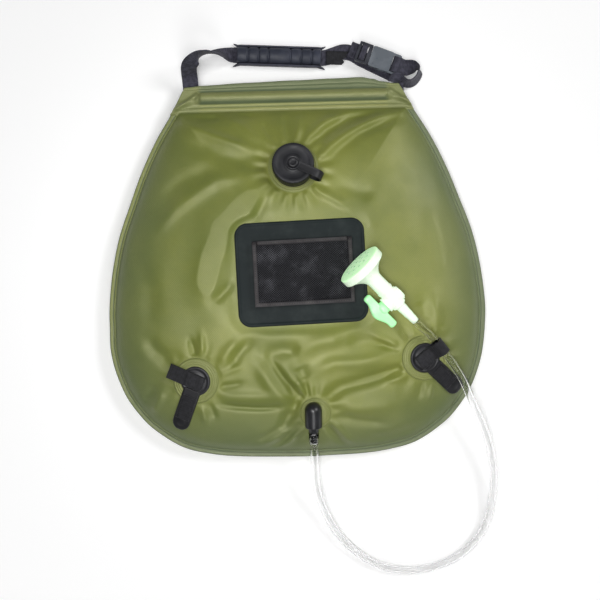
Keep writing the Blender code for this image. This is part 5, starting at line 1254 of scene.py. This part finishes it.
def make_binding_tape():
    """The tape round three sides of the net, the one on its free edge, and the thread in both."""
    x, y = BINDING_HALF_X - BINDING_INSET, -BINDING_HALF_Y + BINDING_INSET
    path = [Vector(p) for p in ((-x, BINDING_HALF_Y), (-x, y), (x, y), (x, BINDING_HALF_Y))]
    dense = [path[0]]
    for a, b in zip(path, path[1:]):
        dense += [a.lerp(b, step / 14) for step in range(1, 15)]
    section = ((0.0026, 0.0700), (0.0026, 0.0708), (0.0020, 0.0711), (0.0005, 0.0710),
               (-0.0012, 0.0711), (-0.0024, 0.0709), (-0.0028, 0.0703), (-0.0028, 0.0690),
               (-0.0026, 0.0016), (-0.0018, 0.0016), (-0.0016, 0.0700))
    piece = swept("pocket_binding_tape", dense, section, binding_black, "bag", NET_FRAME)
    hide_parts("pocket_binding")
    sewn = (STITCH_PITCH, STITCH_LENGTH, STITCH_RADIUS, thread_grey, "bag")
    line = [NET_FRAME @ Vector((p.x, p.y, TAPE_TOP)) for p in path]
    thread = stitches("pocket_stitches", line, *sewn)
    y = 0.0405 - EDGE_TAPE_WIDTH / 2
    line = []
    for step in range(41):
        x = -0.0553 + 0.1106 * step / 40
        wave = noise.noise(Vector((x * 70, 0, 2))) * 0.0004
        line.append(NET_FRAME @ Vector((x, y, 0.0704 + wave * 0.3)))
    tape = ribbon("pocket_edge_tape", line, y_axis(NET_FRAME), EDGE_TAPE_WIDTH, 0.0011,
                  binding_black, "bag")
    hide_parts("pocket_top_tape")
    line = [NET_FRAME @ Vector((x, y, TAPE_TOP)) for x in (-0.055, 0.055)]
    stitches("pocket_edge_stitches", line, *sewn)


# Filler


def ribbed(name, profile, matrix, finish, body, ribs, depth, from_radius):
    """A turned piece whose outer wall is fluted, with four sides to a rib."""
    piece = lathe(name, profile, matrix, finish, body, ribs * 4)
    back = matrix.inverted()
    for vertex in piece.data.vertices:
        local = back @ vertex.co
        radius = math.hypot(local.x, local.y)
        if radius >= from_radius:
            angle = math.atan2(local.y, local.x)
            cut = depth * (0.5 - 0.5 * math.cos(angle * ribs)) ** 0.7
            factor = (radius - cut) / radius
            vertex.co = matrix @ Vector((local.x * factor, local.y * factor, local.z))
    return piece


def make_filler():
    cap = [(0.0234, 0.0066), (0.0253, 0.0066), (0.0258, 0.0072), (0.0258, 0.0193), (0.0256, 0.0203),
           (0.0250, 0.0210), (0.0241, 0.0214), (0.0230, CAP_TOP), (0.0206, CAP_TOP),
           (0.0201, 0.0212), (0.0196, 0.0209), (0.0120, 0.0209), (0.0117, 0.0210),
           (0.0114, CAP_TOP), (0.0092, CAP_TOP), (0.0039, CAP_TOP), (0.0039, 0.0185),
           (0.0234, 0.0185)]
    piece = ribbed("cap_shell", cap, FILLER_FRAME, black, "cap", 54, 0.0005, 0.0252)
    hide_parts("filler_cap")
    neck = [(0.0185, -0.005), (0.0210, -0.005), (0.0245, -0.001), (0.0245, 0.0030),
            (0.0239, 0.0036), (0.0210, 0.0036)]
    for middle in (0.0076, 0.0116):
        neck += [(0.0210, middle - 0.0013), (0.0219, middle - 0.0004), (0.0221, middle),
                 (0.0219, middle + 0.0004), (0.0210, middle + 0.0013)]
    neck += [(0.0210, 0.0160), (0.0207, 0.0165), (0.0188, 0.0165), (0.0185, 0.0160)]
    piece = lathe("neck_shell", neck, FILLER_FRAME, black, "bag", 96)
    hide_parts("filler_neck")
    head_low = CAP_TOP + GAP + TETHER_THICK + GAP
    hub = [(0, 0.0166), (0.0055, 0.0166), (0.0058, 0.0169), (0.0058, 0.0180), (0.0054, 0.0182),
           (0.0036, 0.0182)]
    hub += [(radius, head_low + up) for radius, up in (
        (0.0036, 0), (0.0060, 0), (0.0062, 0.0003), (0.0061, 0.0009), (0.0055, 0.0013),
        (0.0046, 0.0016), (0.0034, 0.0016), (0.0031, 0.0012), (0.0018, 0.0011), (0, 0.0013))]
    piece = lathe("hub_button", hub, FILLER_FRAME, rubber, "cap_carriage", 64, closed=False)
    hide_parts("tether_hub")
    make_tether_band()


def make_tether_band():
    """An eye over the cap, a band that turns down outside it, and the ring round the neck."""
    radius = (TETHER_TOP - TETHER_LOW) / 2
    x, z = TETHER_REACH - radius, TETHER_LOW + radius
    knots = [Vector((x, 0, TETHER_TOP)) for x in (0.0040, 0.0130, 0.0230)]
    for step in range(9):
        angle = math.pi * step / 8
        knots.append(Vector((x + radius * math.sin(angle), 0, z + radius * math.cos(angle))))
    knots += [Vector((0.0240, 0, TETHER_LOW))]
    line = [TETHER_FRAME @ p for p in hermite(knots, 4)]
    side = y_axis(TETHER_FRAME)
    band = ribbon("tether_band", line, side, TETHER_WIDTH, TETHER_THICK, rubber, None, edge=0.1)
    eye = [(r, TETHER_TOP + up) for r, up in (
        (0.0039, -0.0008), (0.0084, -0.0008), (0.0088, -0.0005), (0.0088, 0.0005), (0.0084, 0.0009),
        (0.0076, 0.0010), (0.0072, 0.0008), (0.0039, 0.0008))]
    disc = lathe("tether_eye", eye, TETHER_FRAME, rubber, "cap_carriage", 72)
    ring = [(r, TETHER_LOW + up) for r, up in (
        (0.0213, -0.0008), (0.0243, -0.0008), (0.0245, -0.0005), (0.0245, 0.0005), (0.0243, 0.0008),
        (0.0213, 0.0008))]
    collar = lathe("tether_collar", ring, TETHER_FRAME, rubber, "bag", 96)
    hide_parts("cap_tether")
    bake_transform(band)


# Outlet


def make_outlet():
    """A round elbow with a collar and a ridged barb, and the hose's widened end over the barb."""
    arc = [math.radians(5 * step) for step in range(1, 19)]
    profile = [(0, -ELBOW_RADIUS)]
    profile += [(ELBOW_RADIUS * math.sin(angle), -ELBOW_RADIUS * math.cos(angle)) for angle in arc]
    profile += [(ELBOW_RADIUS, 0.0020), (0.0106, 0.0032), (ELBOW_RADIUS, 0.0044),
                (ELBOW_RADIUS, 0.0198), (0.0103, 0.0209), (0.0097, 0.0215), (0.0066, 0.0217),
                (0.0062, 0.0222), (0.0062, 0.0268), (0.0059, 0.0274), (0.0042, 0.0276)]
    for ridge in range(3):
        foot = 0.0275 + 0.014 / 3 * ridge
        profile += [(radius, foot + up) for radius, up in (
            (0.0042, 0.0014), (0.0050, 0.0016), (0.0051, 0.0019), (0.0042, 0.0046))]
    profile += [(0.0039, 0.0415), (0.0028, 0.0415), (0.0028, 0.0300), (0, 0.0300)]
    piece = lathe("elbow_shell", profile, ELBOW_FRAME, elbow_black, "bag", 80, closed=False)
    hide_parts("outlet_elbow")
    sleeve = [(0.0056, 0.0292), (0.0061, 0.0290), (0.0064, 0.0296), (0.0062, 0.0304),
              (0.0062, 0.0400), (0.0060, 0.0414), (0.0052, 0.0432), (0.0049, 0.0448),
              (0.0034, 0.0448), (0.0040, 0.0432), (0.0054, 0.0412), (0.0056, 0.0400)]
    cuff = lathe("hose_cuff", sleeve, ELBOW_FRAME, clear, "bag", 64)


# Shower head


def head_profile():
    """The bell with its rolled rim, the pipe and the barb, and the bore on the way back."""
    profile = [(0.0270, HEAD_RIM), (0.0285, HEAD_RIM), (HEAD_RADIUS, HEAD_RIM + 0.0005),
               (HEAD_RADIUS, HEAD_BAND - 0.0012), (0.0288, HEAD_BAND - 0.0004),
               (0.0281, HEAD_BAND + 0.0002)]
    for step in range(1, 25):
        share = step / 24
        spread = (HEAD_RADIUS - PIPE_RADIUS) * (1 - share) ** 2 * 0.93
        profile.append((PIPE_RADIUS + spread, HEAD_BAND + 0.019 * share))
    profile += [(PIPE_RADIUS, 0.040), (0.0096, 0.0435), (0.0102, 0.0445), (0.0104, 0.0455),
                (0.0102, 0.0465), (0.0096, 0.0475), (PIPE_RADIUS, 0.0500), (PIPE_RADIUS, 0.0700),
                (0.0092, 0.0714), (0.0080, 0.0724), (0.0064, 0.0733), (BARB_RADIUS, 0.0738)]
    for ridge in range(3):
        foot = 0.0735 + 0.009 * ridge
        low = BARB_RADIUS - BARB_TAPER * (ridge + 0.35) / 3
        high = BARB_RADIUS - BARB_TAPER * (ridge + 1) / 3
        profile += [(low, foot + 0.0030), (low + 0.0002, foot + 0.0033),
                    (low + 0.0002, foot + 0.0038), (high, foot + 0.0090)]
    profile += [(0.0040, 0.1005), (0.0036, 0.0990), (0.0036, 0.0290)]
    profile += [(r - 0.0020, z) for r, z in profile[30:5:-1] if z <= 0.0291]
    return profile + [(0.0270, 0.0050)]


def make_spray_holes():
    """Small raised nozzles in three rings on the domed face."""
    nozzle = ((0.0015, 0.0002), (0.0014, -0.0003), (0.0010, -0.0004), (0.0008, -0.0002),
              (0.0008, 0.0010))
    vertices, faces = [], []
    for count, share in ((1, 0.0), (6, 0.30), (12, 0.58)):
        level = -DOME_RISE * (1 - share ** 2)
        for hole_c, hole_s in circle(count, 0.27):
            x, y = HEAD_RADIUS * share * hole_c, HEAD_RADIUS * share * hole_s
            faces += quads(5, 16, len(vertices), flip=True) + caps(5, 16, len(vertices))[1:]
            for r, up in nozzle:
                vertices += [HEAD_FRAME @ Vector((x + r * c, y + r * s, level + up))
                             for c, s in circle(16)]
    return add("spray_holes", vertices, faces, hole_shade, "bag")


def make_head():
    body = lathe("head_shell", head_profile(), HEAD_FRAME, pale, "bag", 96)
    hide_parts("head_body")
    housing = [(0.0071, -0.0112), (0.0094, -0.0112), (0.0098, -0.0108), (0.0098, 0.0104),
               (0.0102, 0.0108), (0.0102, 0.0120), (0.0098, 0.0125), (0.0071, 0.0125)]
    sleeve = lathe("valve_housing", housing, VALVE_FRAME, pale, "bag", 72)
    dome = [(HEAD_RADIUS * i / 14, -DOME_RISE * (1 - (i / 14) ** 2)) for i in range(13)]
    dome += [(0.0276, -0.0003), (0.0286, 0.0002), (HEAD_RADIUS, 0.0007), (HEAD_RADIUS, 0.0015),
             (0.0267, 0.0015), (0.0267, 0.0031), (0.0255, 0.0031), (0.0250, 0.0015), (0, 0.0015)]
    face = lathe("rose_face", dome, HEAD_FRAME, face_pale, "bag", 96, closed=False)
    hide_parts("rose_plate")
    nozzles = make_spray_holes()
    make_valve_handle()


def make_valve_handle():
    """A bar along the pipe, bowed out at its middle, on a round stem."""
    rings, steps = [], 40
    for step in range(steps + 1):
        place = step / steps
        share = abs(2 * place - 1)
        bulge = smooth(1 - share / 0.75, 0, 1)
        size = 0.0098 + 0.0058 * bulge
        end = 1 - 0.30 * smooth(share, 0.90, 1.0) ** 2
        thick = (0.0092 + 0.0008 * bulge + 0.0004 * math.cos(share * 9)) * end
        x, z = BAR_LENGTH * (place - 0.5), BAR_LOW + size / 2
        section = rounded(thick, size * end, min(0.0030, size * end * 0.42), 5)
        rings.append([VALVE_FRAME @ Vector((x, p.x, z + p.y)) for p in section])
    bar = lofted("valve_bar", rings, mint, "valve")
    stem = [(0, -0.0131), (0.0026, -0.0131), (0.0026, -0.0109), (0.0068, -0.0109), (0.0068, 0.0093),
            (0.0052, 0.0093), (0.0052, 0.0109), (0.0068, 0.0109), (0.0068, 0.0128),
            (0.0076, 0.0128), (0.0078, 0.0131), (0.0078, 0.0180), (0.0074, 0.0200),
            (0.0060, 0.0212), (0, 0.0212)]
    post = lathe("valve_stem", stem, VALVE_FRAME, mint, "valve", 60, closed=False)
    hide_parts("valve_handle")
    washer = [(0.0029, -0.0127), (0.0076, -0.0127), (0.0080, -0.0124), (0.0080, -0.0118),
              (0.0076, -0.0115), (0.0029, -0.0115)]
    ring = lathe("retainer_ring", washer, VALVE_FRAME, pale, "valve", 60)
    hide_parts("valve_retainer")


# Hose tabs


def tongue_height(along, across, wide, reach):
    """Height of the tongue over the cloth: a bevelled edge, two ribs and a dished round end."""
    inset = min(wide - abs(across), reach - along)
    bevel = math.sqrt(max(0.0, 1 - (1 - min(1, inset / 0.0011)) ** 2))
    rib = 0.0
    if along < reach - 0.009:
        rib = 0.00035 * math.exp(-((TONGUE_HALF - 0.0022 - abs(across)) / 0.0006) ** 2)
    off = math.hypot(along - reach + TONGUE_HALF, across)
    dish = 0.0007 * max(0.0, 1 - (off / DISH_RADIUS) ** 2)
    dish -= 0.0004 * math.exp(-((off - DISH_RADIUS) / 0.0011) ** 2)
    return 0.0014 + 0.0022 * bevel + rib + dish


def make_tongue(side, reach):
    """The rubber disc, its tongue out to a reach, and the hook tape on that."""
    matrix = TONGUES[side]
    profile = [(0.0184, -0.0030), (0.0184, 0.0026), (0.0181, 0.0033), (0.0174, TAB_HEIGHT),
               (0.0158, TAB_HEIGHT), (0.0154, 0.0036), (0.0150, 0.0034), (0.0122, 0.0034),
               (0.0118, 0.0036), (0.0114, TAB_HEIGHT), (0, TAB_HEIGHT)]
    foot = lathe("tab_foot_" + side, profile, matrix, rubber, "bag", 84, closed=False)
    vertices = []
    rows, columns = 64, 16
    for row in range(rows + 1):
        along = 0.012 + (reach - 0.012) * row / rows
        wide = TONGUE_HALF
        if along > reach - TONGUE_HALF:
            wide = math.sqrt(max(0.0, TONGUE_HALF ** 2 - (along - reach + TONGUE_HALF) ** 2))
        wide = max(wide, 0.0002)
        for column in range(columns + 1):
            across = math.sin((column / columns * 2 - 1) * math.pi / 2) * wide
            point = matrix @ Vector((along, across, 0))
            level = ground_level(point.x, point.y) + tongue_height(along, across, wide, reach)
            vertices.append(Vector((point.x, point.y, level)))
    faces = quads(rows + 1, columns + 1, loop=False)
    tongue = add("tab_tongue_" + side, vertices, faces, rubber, "bag")
    solidify(tongue, 0.0012)
    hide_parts("tab_" + side)
    line = []
    for step in range(31):
        along = STRIP_START + (reach - STRIP_SHORT - STRIP_START) * step / 30
        point = matrix @ Vector((along, 0, 0))
        line.append(Vector((point.x, point.y, ground_level(point.x, point.y) + 0.0045)))
    strip = ribbon("tab_hooks_" + side, line, y_axis(matrix), STRIP_WIDTH, 0.0013, hook, "bag",
                   edge=-0.4)
    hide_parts("tab_strip_" + side)


def flap_knots(side, fold, low, rise):
    """The upper layer's way back from the fold, round the hose on the right."""
    if side == "left":
        turn = HOOK_THICKNESS * 0.35
        return [Vector((0, 0, -HOOK_THICKNESS / 2)), Vector((0.0001, 0, rise - turn * 2)),
                Vector((-turn * 0.6, 0, rise - turn * 0.3)), Vector((-turn * 3, 0, rise))]
    x, z = HELD_HOSE - fold, (STRAPS[side].inverted() @ Vector(HOSE_POINTS[HELD_POINT])).z - low
    knots = [Vector((0, 0, 0)), Vector((0, 0, z / 2))]
    for step in range(9):
        angle = math.radians(140 * step / 8)
        out, up = LOOP_RADIUS * math.cos(angle), LOOP_RADIUS * math.sin(angle)
        knots.append(Vector((x + out, 0, z + up)))
    x = 0.0105 - fold
    return knots + [Vector((x, 0, rise + 0.0014)), Vector((x - 0.0028, 0, rise))]


def make_hook_strap(side):
    """The strap's two layers, with a soft pad and its stitches on the upper one."""
    matrix, body = STRAPS[side], "loop_flap_" + side
    across, band = y_axis(matrix), (HOOK_WIDTH, HOOK_THICKNESS, hook)
    low = TAB_HEIGHT + GAP + HOOK_THICKNESS / 2
    rise = HOOK_THICKNESS + GAP
    fold = HELD_HOSE + LOOP_RADIUS if side == "right" else 0.0350
    reach = fold - 0.0017 - HOOK_END
    line = [matrix @ Vector((HOOK_END + reach * step / 24, 0, low)) for step in range(25)]
    strap = ribbon("hook_band_" + side, line, across, *band, "bag", edge=0.2)
    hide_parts("hook_strap_" + side)
    knots = flap_knots(side, fold, low, rise)
    last = Vector((HOOK_END - fold, 0, rise))
    knots += [knots[-1].lerp(last, step / 6) for step in range(1, 7)]
    line = [matrix @ (Vector((fold, 0, low)) + p) for p in hermite(knots, 4)]
    flap = ribbon("loop_band_" + side, line, across, *band, body, edge=0.2)
    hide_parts("flap_" + side)
    top = low + rise + 0.0011
    line = [matrix @ Vector((-0.0108 + 0.0225 * step / 16, 0, top)) for step in range(17)]
    pad = ribbon("loop_pad_" + side, line, across, 0.0180, 0.0016, hook_soft, body, edge=-0.2)
    near, far = (line[0].lerp(line[-1], share) for share in (0.06, 0.94))
    out = across * 0.0078
    up = matrix.to_3x3() @ Vector((0, 0, 0.0009))
    seam = [p + up for p in (near + out, far + out, far - out, near - out, near + out)]
    thread = stitches("loop_stitches_" + side, seam, 0.0028, 0.0018, 0.0002, thread_black, body)


# Handle


def grip_section(x, inset):
    """A flat foot, upright sides and a half round top, across the grip."""
    low = 0.0044
    half, height = GRIP_HALF - inset, GRIP_HEIGHT - inset
    shoulder = low + height * 0.35
    waist = low + (shoulder - low) * 0.5
    crown = low + height - shoulder
    points = [(half, low), (half, waist)]
    for step in range(25):
        angle = math.pi * step / 24
        points.append((half * math.cos(angle), shoulder + crown * math.sin(angle)))
    points += [(-half, waist), (-half, low)]
    return [GRIP_FRAME @ Vector((x, y, z)) for y, z in points]


def make_grip_core():
    """Seven ribs with round edges, and a groove between each two."""
    used = GRIP_LENGTH - GRIP_GROOVE * (len(RIB_SHARES) - 1)
    start = -GRIP_LENGTH / 2
    places = (0, 0.0002, 0.0005, 0.0009, 0.0015)
    edge = [(place, 0.0008 * (1 - place / places[-1]) ** 2) for place in places]
    rings = []
    for number, share in enumerate(RIB_SHARES):
        if number:
            rings.append(grip_section(start + 0.0003, 0.0012))
            start += GRIP_GROOVE
            rings.append(grip_section(start - 0.0003, 0.0012))
        end = start + used * share / sum(RIB_SHARES)
        rings += [grip_section(start + place, inset) for place, inset in edge]
        rings.append(grip_section(start + (end - start) / 2, -0.0001))
        rings += [grip_section(end - place, inset) for place, inset in edge[::-1]]
        start = end
    piece = lofted("grip_ribs", rings, grip_slate, "handle")
    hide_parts("grip_core")


def make_grip_pad():
    """The rubber sheet under the grip, with horns at its corners, and a rail along each side."""
    quarter = [Vector((0.050, 0))]
    for inset, drop in ((1.5, 1.0), (-0.6, -0.5), (2.5, 0.25)):
        quarter.append(Vector((0.058 - 0.004 * inset, 0.0135 - 0.004 * drop)))
    upper = quarter + [Vector((-p.x, p.y)) for p in quarter[::-1]]
    loop = spread_even(upper + [Vector((p.x, -p.y)) for p in upper[-2:0:-1]], 0.002, 3)
    for _ in range(2):
        loop = [(loop[i - 1] + p * 2 + loop[(i + 1) % len(loop)]) / 4 for i, p in enumerate(loop)]
    rings = []
    for inset, level in ((0.0008, 0.0), (0.0002, 0.0003), (0, 0.0008), (0, 0.0016),
                         (0.0003, 0.0021), (0.0010, 0.0024)):
        ring = []
        for p in loop:
            x, y = (at - math.copysign(inset, at) * min(1, abs(at) / 0.002) for at in p)
            ring.append(GRIP_FRAME @ Vector((x, y, level)))
        rings.append(ring)
    pad = lofted("grip_sheet", rings, pad_slate, "handle")
    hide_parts("grip_pad")
    section = ((-1, 0), (1, 0), (1, 0.8), (0.75, 0.93), (0.3, 1.0), (-0.3, 1.0), (-0.75, 0.93),
               (-1, 0.8))
    for name, middle in (("far", 0.0116), ("near", -0.0116)):
        rails = []
        for step in range(41):
            x = -GRIP_LENGTH / 2 + GRIP_LENGTH * step / 40
            height = 0.0014 + 0.0068 * (0.6 + 0.4 * smooth(min(step, 40 - step), 0, 1.5))
            rails.append([GRIP_FRAME @ Vector((x, middle + 0.0013 * a, b * height + 0.0010))
                          for a, b in section])
        lofted("grip_rail_" + name, rails, pad_slate, "handle")


def make_adjuster():
    """The webbing's way through the ladder lock: over the first bar and down behind the second."""
    over = 0.0035 + GAP + WEB_THICKNESS / 2
    bend = 0.0007
    first, second = -0.01325, -0.00675
    route = ((-0.0280, -over), (-0.0205, -over), (first - bend * 2, -over),
             (first - bend / 2, bend / 2 - over), (first, bend * 2 - over),
             (first, over - bend * 2), (first + bend / 2, over - bend / 2),
             (first + bend * 2, over), (second - bend * 2, over),
             (second - bend / 2, over - bend / 2), (second, over - bend * 2), (second, -0.0035))
    line = [BUCKLE_FRAME @ p for p in hermite([Vector((x, 0, z)) for x, z in route], 5)]
    piece = ribbon("adjuster_band", line, y_axis(BUCKLE_FRAME), WEB_WIDTH, WEB_THICKNESS, webbing,
                   "buckle_insert")
    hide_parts("adjuster_webbing")


def make_frayed_end():
    """The webbing's cut end, with an uneven edge."""
    columns, rows = 14, 20
    shares = (-0.5, -0.22, -0.42, 0.0, -0.1, 0.5)
    vertices, uvs = [], []
    for row in range(rows + 1):
        for column in range(columns + 1):
            v = column / columns
            place = v * (len(shares) - 1)
            index = min(int(place), len(shares) - 2)
            share = shares[index] + (shares[index + 1] - shares[index]) * (place - index)
            x = TAIL_START + TAIL_REACH * (1 + share / 2) * row / rows
            y = TAIL_WIDTH * (v - 0.5)
            z = 0.0060 + 0.0005 * math.sin(x * 300 + v * 3) * row / rows
            vertices.append(GRIP_FRAME @ Vector((x, y, z)))
            uvs.append((y, x))
    faces = quads(rows + 1, columns + 1, loop=False)
    piece = add("frayed_web", vertices, faces, hook, "handle", uvs=uvs)
    solidify(piece, 0.0011)
    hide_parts("strap_tail")


def make_strap_roots():
    """The webbing's ends, sewn behind the two top corners."""
    for side, sign in (("left", -1), ("right", 1)):
        line = [Vector((sign * 0.129, 0.1822 + 0.0236 * step / 12, 0.0181)) for step in range(13)]
        piece = ribbon("strap_anchor_" + side, line, Vector((1, 0, 0)), WEB_WIDTH, WEB_THICKNESS,
                       webbing, "bag")
        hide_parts("strap_root_" + side)


make_camera()
hose, hose_length, hose_line = make_hose()
make_front()
make_back()
make_hem()
make_patches()
make_pocket_patch()
net_cloth = make_net_cloth()
make_binding_tape()
make_filler()
make_outlet()
make_head()
for tab_side, tongue_reach in (("left", 0.0670), ("right", 0.0640)):
    make_tongue(tab_side, tongue_reach)
    make_hook_strap(tab_side)
make_grip_core()
make_grip_pad()
make_adjuster()
make_frayed_end()
make_strap_roots()
left_strap = woven("handle_webbing", LEFT_STRAP)
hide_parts("handle_strap")
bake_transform(left_strap)
right_strap = woven("right_webbing", RIGHT_STRAP)
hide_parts("right_strap")
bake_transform(right_strap)


# Stage


def make_stage():
    """A white floor; the camera sees a brighter shader than the light that it sends back."""
    floor = bpy.data.meshes.new("floor")
    signs = ((-1, -1), (1, -1), (1, 1), (-1, 1))
    corners = [(x * FLOOR_SIZE, y * FLOOR_SIZE, FLOOR_LEVEL) for x, y in signs]
    floor.from_pydata(corners, [], [(0, 1, 2, 3)])
    ground = bpy.data.objects.new("floor", floor)
    bpy.context.scene.collection.objects.link(ground)
    finish = Finish("floor_white", (FLOOR_BOUNCE,) * 3, 0.9)
    rays = finish.node("ShaderNodeLightPath")
    glossy, through = rays.outputs["Is Glossy Ray"], rays.outputs["Is Transmission Ray"]
    seen = finish.maths("MAXIMUM", glossy, through)
    seen = finish.maths("MAXIMUM", rays.outputs["Is Camera Ray"], seen)
    diffuse = finish.node("ShaderNodeBsdfDiffuse")
    diffuse.inputs["Color"].default_value = (FLOOR_WHITE, FLOOR_WHITE, FLOOR_WHITE, 1)
    glow = finish.node("ShaderNodeEmission")
    glow.inputs["Strength"].default_value = FLOOR_GLOW
    both = finish.node("ShaderNodeAddShader")
    finish.link(diffuse.outputs[0], both.inputs[0])
    finish.link(glow.outputs[0], both.inputs[1])
    mix = finish.node("ShaderNodeMixShader")
    finish.link(seen, mix.inputs[0])
    finish.link(finish.shader.outputs[0], mix.inputs[1])
    finish.link(both.outputs[0], mix.inputs[2])
    finish.link(mix.outputs[0], finish.tree.nodes["Material Output"].inputs["Surface"])
    floor.materials.append(finish.material)


def lamp(kind, name, place, aim, power):
    """A light at a place, aimed at a point."""
    data = bpy.data.lights.new(name, kind)
    data.energy = power
    holder = bpy.data.objects.new(name, data)
    holder.location = place
    holder.rotation_euler = (Vector(aim) - Vector(place)).to_track_quat("-Z", "Y").to_euler()
    bpy.context.scene.collection.objects.link(holder)
    return data


def make_lights():
    world = bpy.data.worlds.new("studio")
    bpy.context.scene.world = world
    world.use_nodes = True
    world.node_tree.nodes["Background"].inputs["Color"].default_value = (1, 1, 1, 1)
    world.node_tree.nodes["Background"].inputs["Strength"].default_value = 0.10
    for name, place, aim, size, power in (
            ("key", (2.6, 1.2, 2.7), (0, 0, 0), 1.5, 60),
            ("top", (-0.42, 0.05, 2.0), (-0.05, 0, 0), 0.8, 11),
            ("low", (0.0, -0.48, 2.0), (0, -0.1, 0), 0.7, 9),
            ("fill", (0.1, -1.5, 1.7), (0, -0.1, 0), 1.0, 9)):
        disk = lamp("AREA", name, place, aim, power)
        disk.shape, disk.size = "DISK", size
    pool = lamp("SPOT", "pool", (-0.10, -0.30, 2.0), (0.0, -0.03, 0.05), 38)
    pool.spot_size, pool.spot_blend, pool.shadow_soft_size = math.radians(21), 1.0, 0.15


make_stage()
make_lights()
bpy.context.scene.view_settings.view_transform = "Standard"
CARRIED = {
    "olive": patch_olive, "olive_weld": patch_olive, "black_patch": patch_black, "net": net,
    "black_plastic": black, "buckle_plastic": buckle_grey, "rubber": rubber, "webbing": webbing,
    "hook_tape": hook, "pale_plastic": pale, "mint_plastic": mint, "clear_hose": clear,
    "seal": seal, "rod": rod,
}
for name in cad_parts:
    node = bpy.data.objects[name]
    for slot in node.material_slots:
        key = slot.material.name.split(".")[0] if slot.material else ""
        slot.material = buckle_pale if name == "buckle_female" else CARRIED.get(key, black)
    if name.startswith("buckle_"):
        soften(node, 0.0004)
